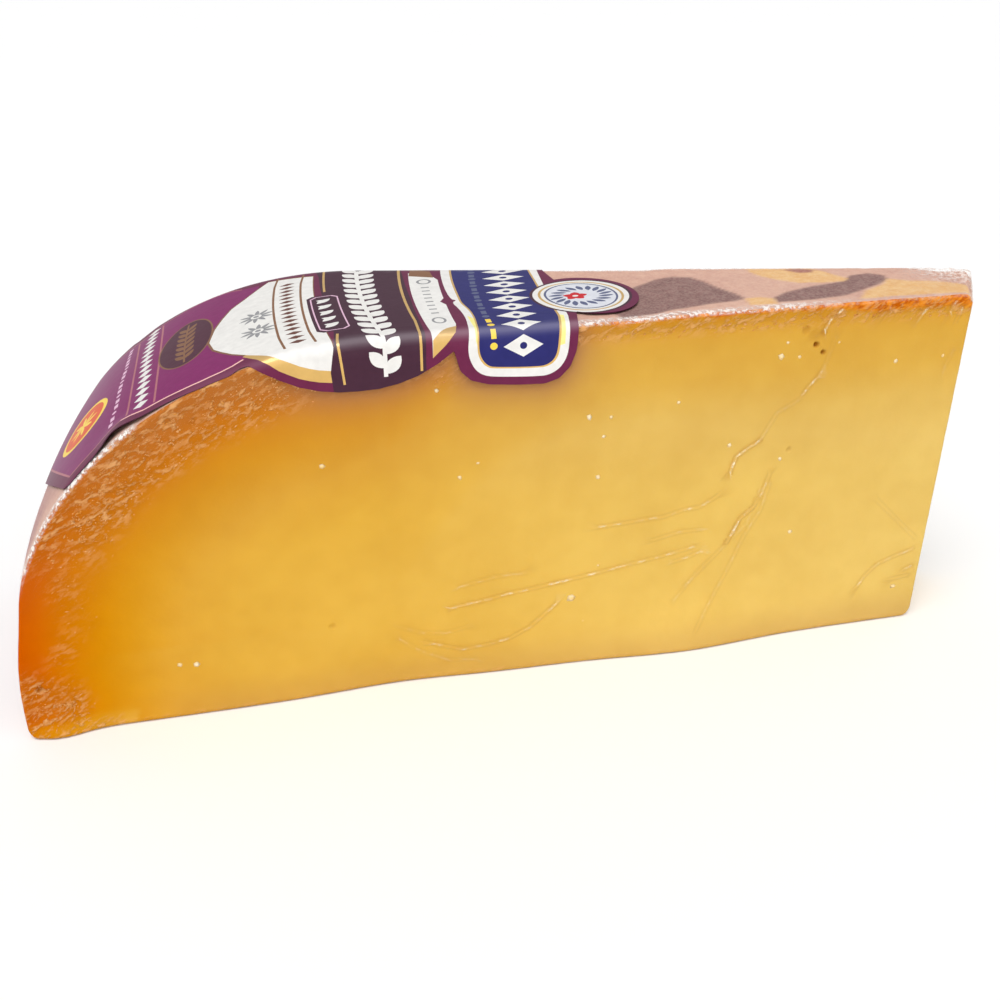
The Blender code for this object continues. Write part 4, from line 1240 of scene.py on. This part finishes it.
    def plaque(self):
        """The blue plaque in its white and gold frame, with lozenges and a row of dots and bars."""
        outer = ((62.8, 12.4), (63.4, 9.0), (63.6, 5.1), (63.2, 1.5), (62.8, -1.3), (62.8, -2.9),
                 (63.2, -4.2), (63.9, -5.3), (65.0, -6.0), (66.9, -6.3), (72.6, -6.7), (74.0, -6.5),
                 (75.2, -5.8), (76.0, -4.7), (76.4, -3.4), (76.5, -1.5), (76.6, 1.2), (76.9, 3.4), (76.6, 8.0),
                 (75.3, 16.0), (75.1, 20.0), (74.6, 27.0), (74.4, 31.0), (73.6, 34.6), (64.0, 36.0),
                 (62.4, 34.0), (62.3, 27.0), (62.7, 14.0), (63.6, 13.2))
        inner = ((63.8, 12.0), (64.5, 8.4), (64.6, 5.0), (64.3, 2.0), (64.0, -0.8), (64.0, -2.7),
                 (64.4, -3.9), (65.2, -4.8), (66.2, -5.1), (72.4, -5.5), (73.8, -5.3), (74.8, -4.5),
                 (75.2, -3.2), (75.3, -1.5), (75.5, 1.0), (75.9, 3.8), (75.0, 12.0), (74.5, 17.7),
                 (74.2, 21.4), (73.6, 27.0), (73.4, 31.0), (72.8, 33.6), (64.8, 34.8), (63.5, 33.0),
                 (63.4, 27.0), (63.8, 14.4))
        self.paint("panel", cut_corners(outer))
        # Painted highlights on the gold frame where it turns over the front edge.
        self.paint("sheen", ((63.9, 6.0), (64.9, 4.0), (64.9, -0.6), (64.2, -2.6), (63.8, -1.0), (63.9, 1.6)))
        self.paint("sheen", ((75.1, -2.6), (75.9, -2.4), (76.0, 0.4), (76.3, 3.4), (75.5, 4.0), (75.3, 0.6)))
        self.paint("gold", cut_corners(inner))
        middle = np.array((69.2, 14.0))
        self.paint("plaque", cut_corners((np.array(inner) - middle) * (0.955, 0.99) + middle))
        for k in range(9):
            p = -2.2 + k * 3.6
            self.lozenge("panel", 70.2, p, 2.7, 1.55)
            self.disc("plaque", 70.2, p, 0.5, count=12)
            tint = "yellow" if k < 2 else "slate"
            self.disc(tint, 66.2, p + 0.2, 0.5, count=12)
            self.line(tint, ((66.2, p + 1.2), (66.2, p + 2.6)), 0.7)

    def seal(self):
        """The white oval seal at the right end, with a ring of leaves and a red flower."""
        s, p = SEAL
        self.paint("band", self.oval(SEAL, 8.1, 6.6, SEAL_TURN, 0.0, 355.0, 60), 5.0)
        for name, less in (("panel", 0.0), ("gold", 0.7), ("panel", 1.05), ("slate", 1.5), ("silver", 1.8)):
            self.paint(name, self.oval(SEAL, 7.7 - less, 6.2 - less, SEAL_TURN, 0.0, 355.0, 72), 5.0)
        for k in range(18):
            a = k * math.pi / 9
            self.leaf("slate", s + 2.3 * math.cos(a), p + 2.6 * math.sin(a), 2.2, 0.8, a + 0.5)
        for k in range(5):
            self.leaf("red", s - 0.8, p, 1.7, 1.3, k * math.pi * 0.4 + 0.3)
        self.disc("panel", s - 0.8, p, 0.4, count=12)

    def lift(self, s, p):
        """How far the wing's front edge stands off the shoulder."""
        return 0.5 * np.exp(-((s - 15.5) / 3.0) ** 2) * (1.0 - smooth(0.0, 7.0, p))

    def wrap(self, s, p, offset):
        """Flat positions laid onto the wedge, offset mm above its surface."""
        form = self.form
        x, z, nx, nz = form.outline(s)
        x = x - nx * LABEL_RECESS
        z = z - nz * LABEL_RECESS
        offset = offset + self.lift(s, p)
        width = form.width(s)
        from_back = p > width / 2
        reach = np.where(from_back, width - p, p)
        edge = form.edge
        t = np.where(reach >= self.fold, (reach - self.fold) / (width - 2.0 * self.fold), 0.0)
        a = np.clip((reach + self.fold) / (2.0 * self.fold), 0.0, 1.0) * math.pi / 2
        beyond = np.maximum(-reach - self.fold, 0.0)
        inset = edge - (edge + offset) * np.sin(a) + beyond
        depth = edge - (edge + offset) * np.cos(a)
        base = depth - 2.0 * edge * t
        return form.swept(x - nx * inset, z - nz * inset, np.where(from_back, -base, base),
                          np.where(from_back, 1.0 - t, t))


class CHEESE_OT_label(bpy.types.Operator):
    """Build the printed paper label"""
    bl_idname = "cheese.label"
    bl_label = "Paper label"

    def execute(self, context):
        look = context.scene.label_look
        form = Form(LABEL_EDGE)
        label = Label(form)
        label.draw()
        names = ["rim"] + sorted({name for name, _ in label.fields})
        flat, faces, slots = self.flat_sheet(form, label, names)
        s, p = flat.T
        count = len(flat)
        outer = label.wrap(s, p, LABEL_RISE)
        inner = label.wrap(s, p, LABEL_RISE - look.thickness / MM)
        walls = [(b, a, a + count, b + count) for a, b in self.open_sides(faces)]
        all_faces = faces.tolist() + (faces[:, ::-1] + count).tolist() + walls
        plain = np.full(len(faces) + len(walls), len(names))
        materials = []
        for name in names:
            shade = linear(TINTS[name]) if name in TINTS else tuple(getattr(look, name))
            materials.append(print_material("print_" + name, shade, 0.35 if name == "gold" else 0.0))
        # The back of the sheet and its cut edges are painted a dark purple as shade.
        materials.append(print_material("paper_edge", linear((74, 34, 54))))
        thing = make_mesh("label_sheet", np.concatenate((outer, inner)), all_faces, materials,
                          np.concatenate((slots, plain)), sharp=50.0)
        # Strength of the painted highlight along the label's folds, weaker on the wing.
        reach = np.minimum(p, form.width(s) - p)
        fold = np.exp(-((reach - 0.3) / 0.8) ** 2) * (0.3 + 0.7 * smooth(33.0, 45.0, s))
        add_values(thing, fold=np.tile(fold, 2))
        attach(thing, "root")
        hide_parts("label")
        return {"FINISHED"}

    def flat_sheet(self, form, label, names):
        """The flat sheet with all printed borders cut in: its points, faces and colour of each face."""
        outline = label.outline()
        low = outline.min(axis=0)
        high = outline.max(axis=0)
        rows = []
        edges = []
        s = np.arange(low[0] - 0.5, high[0] + 0.5, 0.8)
        for back in (False, True):
            for level in np.linspace(-1.0, 1.0, 7):
                p = level * label.fold
                start = len(rows) * len(s)
                edges += [(start + i, start + i + 1) for i in range(len(s) - 1)]
                rows.append(np.column_stack((s, form.width(s) - p if back else np.full(len(s), p))))
        points = honeycomb(low, high, 1.3)
        reach = np.minimum(points[:, 1], form.width(points[:, 0]) - points[:, 1])
        points = points[np.abs(reach) > label.fold + 0.4]
        points = points[inside(outline, points)]
        points = points[distance_to(outline, points) > 0.3]
        borders = [outline] + [border for _, border in label.fields]
        flat, faces, _ = triangulate(borders, np.concatenate(rows + [points]), edges)
        middle = flat[faces].mean(axis=1)
        slots = np.zeros(len(faces), int)
        for name, border in label.fields:
            slots[inside(border, middle)] = names.index(name)
        used = np.unique(faces)
        renumber = np.full(len(flat), -1)
        renumber[used] = np.arange(len(used))
        return flat[used], renumber[faces], slots

    def open_sides(self, faces):
        """Sides of the flat sheet that belong to one triangle only."""
        sides = {}
        for face in faces.tolist():
            for i in range(3):
                a, b = face[i], face[(i + 1) % 3]
                if (b, a) in sides:
                    del sides[(b, a)]
                else:
                    sides[(a, b)] = True
        return sides


# Stage

# Soft lights as name, place that they shine from, spread in degrees and power.
LIGHTS = (("key_light", (-0.22, -0.34, 1.0), 35.0, 1.45), ("fill_light", (0.5, -0.5, 0.9), 60.0, 0.35),
          ("front_light", (-0.25, -1.0, 0.22), 70.0, 0.95))
WORLD_POWER = 0.5
# Half the floor's width, in metres.
FLOOR_REACH = 3.0
# The camera's place, in mm in the frame of the front cut face.
CAMERA_PLACE = (36.687, -130.596, 99.370)


class CHEESE_OT_stage(bpy.types.Operator):
    """Build the floor, the lights and the camera"""
    bl_idname = "cheese.stage"
    bl_label = "Stage"

    def execute(self, context):
        scene = context.scene
        look = scene.stage_look
        self.floor(look)
        self.lights(scene)
        self.camera(scene, look)
        scene.view_settings.view_transform = "Standard"
        return {"FINISHED"}

    def floor(self, look):
        n = Nodes("floor")
        tint = n.grey(n.noise(6.0, 2.0), 0.2, 0.8)
        shade = n.mix(tint, tuple(part * 0.99 for part in look.floor), tuple(look.floor))
        shader = n.add("ShaderNodeBsdfPrincipled", {"Base Color": shade, "Roughness": 0.7})
        mesh = bpy.data.meshes.new("floor")
        corners = [(x * FLOOR_REACH, y * FLOOR_REACH, 0.0) for x, y in ((-1, -1), (1, -1), (1, 1), (-1, 1))]
        mesh.from_pydata(corners, [], [(0, 1, 2, 3)])
        mesh.materials.append(n.finish(shader.outputs[0]))
        thing = bpy.data.objects.new("floor", mesh)
        bpy.context.scene.collection.objects.link(thing)

    def lights(self, scene):
        world = bpy.data.worlds.new("studio")
        world.use_nodes = True
        background = world.node_tree.nodes["Background"]
        background.inputs["Color"].default_value = (1.0, 1.0, 1.0, 1.0)
        background.inputs["Strength"].default_value = WORLD_POWER
        scene.world = world
        for name, place, spread, power in LIGHTS:
            lamp = bpy.data.lights.new(name, "SUN")
            lamp.angle = math.radians(spread)
            lamp.energy = power
            thing = bpy.data.objects.new(name, lamp)
            thing.location = place
            thing.rotation_euler = (-Vector(place)).to_track_quat("-Z", "Y").to_euler()
            scene.collection.objects.link(thing)

    def camera(self, scene, look):
        lens = bpy.data.cameras.new("camera")
        lens.lens = look.lens
        lens.sensor_width = 36.0
        lens.clip_start = 0.005
        lens.clip_end = 20.0
        thing = bpy.data.objects.new("camera", lens)
        place = Vector(to_row(np.array(CAMERA_PLACE)))
        yaw, pitch = look.yaw, look.pitch
        right = Vector((math.cos(yaw), -math.sin(yaw), 0.0))
        ahead = Vector((math.sin(yaw) * math.cos(pitch), math.cos(yaw) * math.cos(pitch), -math.sin(pitch)))
        turn = Matrix((right, right.cross(ahead), -ahead)).transposed()
        thing.matrix_world = Matrix.Translation(place) @ turn.to_4x4()
        scene.collection.objects.link(thing)
        scene.camera = thing


class CHEESE_PT_panel(bpy.types.Panel):
    """Lists what the wedge is built from"""
    bl_idname = "CHEESE_PT_panel"
    bl_label = "Cheese wedge"
    bl_space_type = "VIEW_3D"
    bl_region_type = "UI"
    bl_category = "Cheese wedge"

    def draw(self, context):
        for group in GROUPS:
            settings = getattr(context.scene, group)
            box = self.layout.box()
            for name in settings.__annotations__:
                box.prop(settings, name)
        for operator in OPERATORS:
            self.layout.operator(operator.bl_idname)


GROUPS = {"wedge_sizes": WedgeSizes, "paste_look": PasteLook, "label_look": LabelLook,
          "stage_look": StageLook}
OPERATORS = (CHEESE_OT_paste, CHEESE_OT_film, CHEESE_OT_label, CHEESE_OT_stage)


def register():
    for kind in (*GROUPS.values(), *OPERATORS, CHEESE_PT_panel):
        bpy.utils.register_class(kind)
    for name, kind in GROUPS.items():
        setattr(bpy.types.Scene, name, bpy.props.PointerProperty(type=kind))


def unregister():
    for name in GROUPS:
        delattr(bpy.types.Scene, name)
    for kind in (CHEESE_PT_panel, *reversed(OPERATORS), *reversed(tuple(GROUPS.values()))):
        bpy.utils.unregister_class(kind)


def main():
    register()
    bpy.ops.cheese.paste()
    bpy.ops.cheese.film()
    bpy.ops.cheese.label()
    bpy.ops.cheese.stage()


if __name__ == "__main__":
    main()
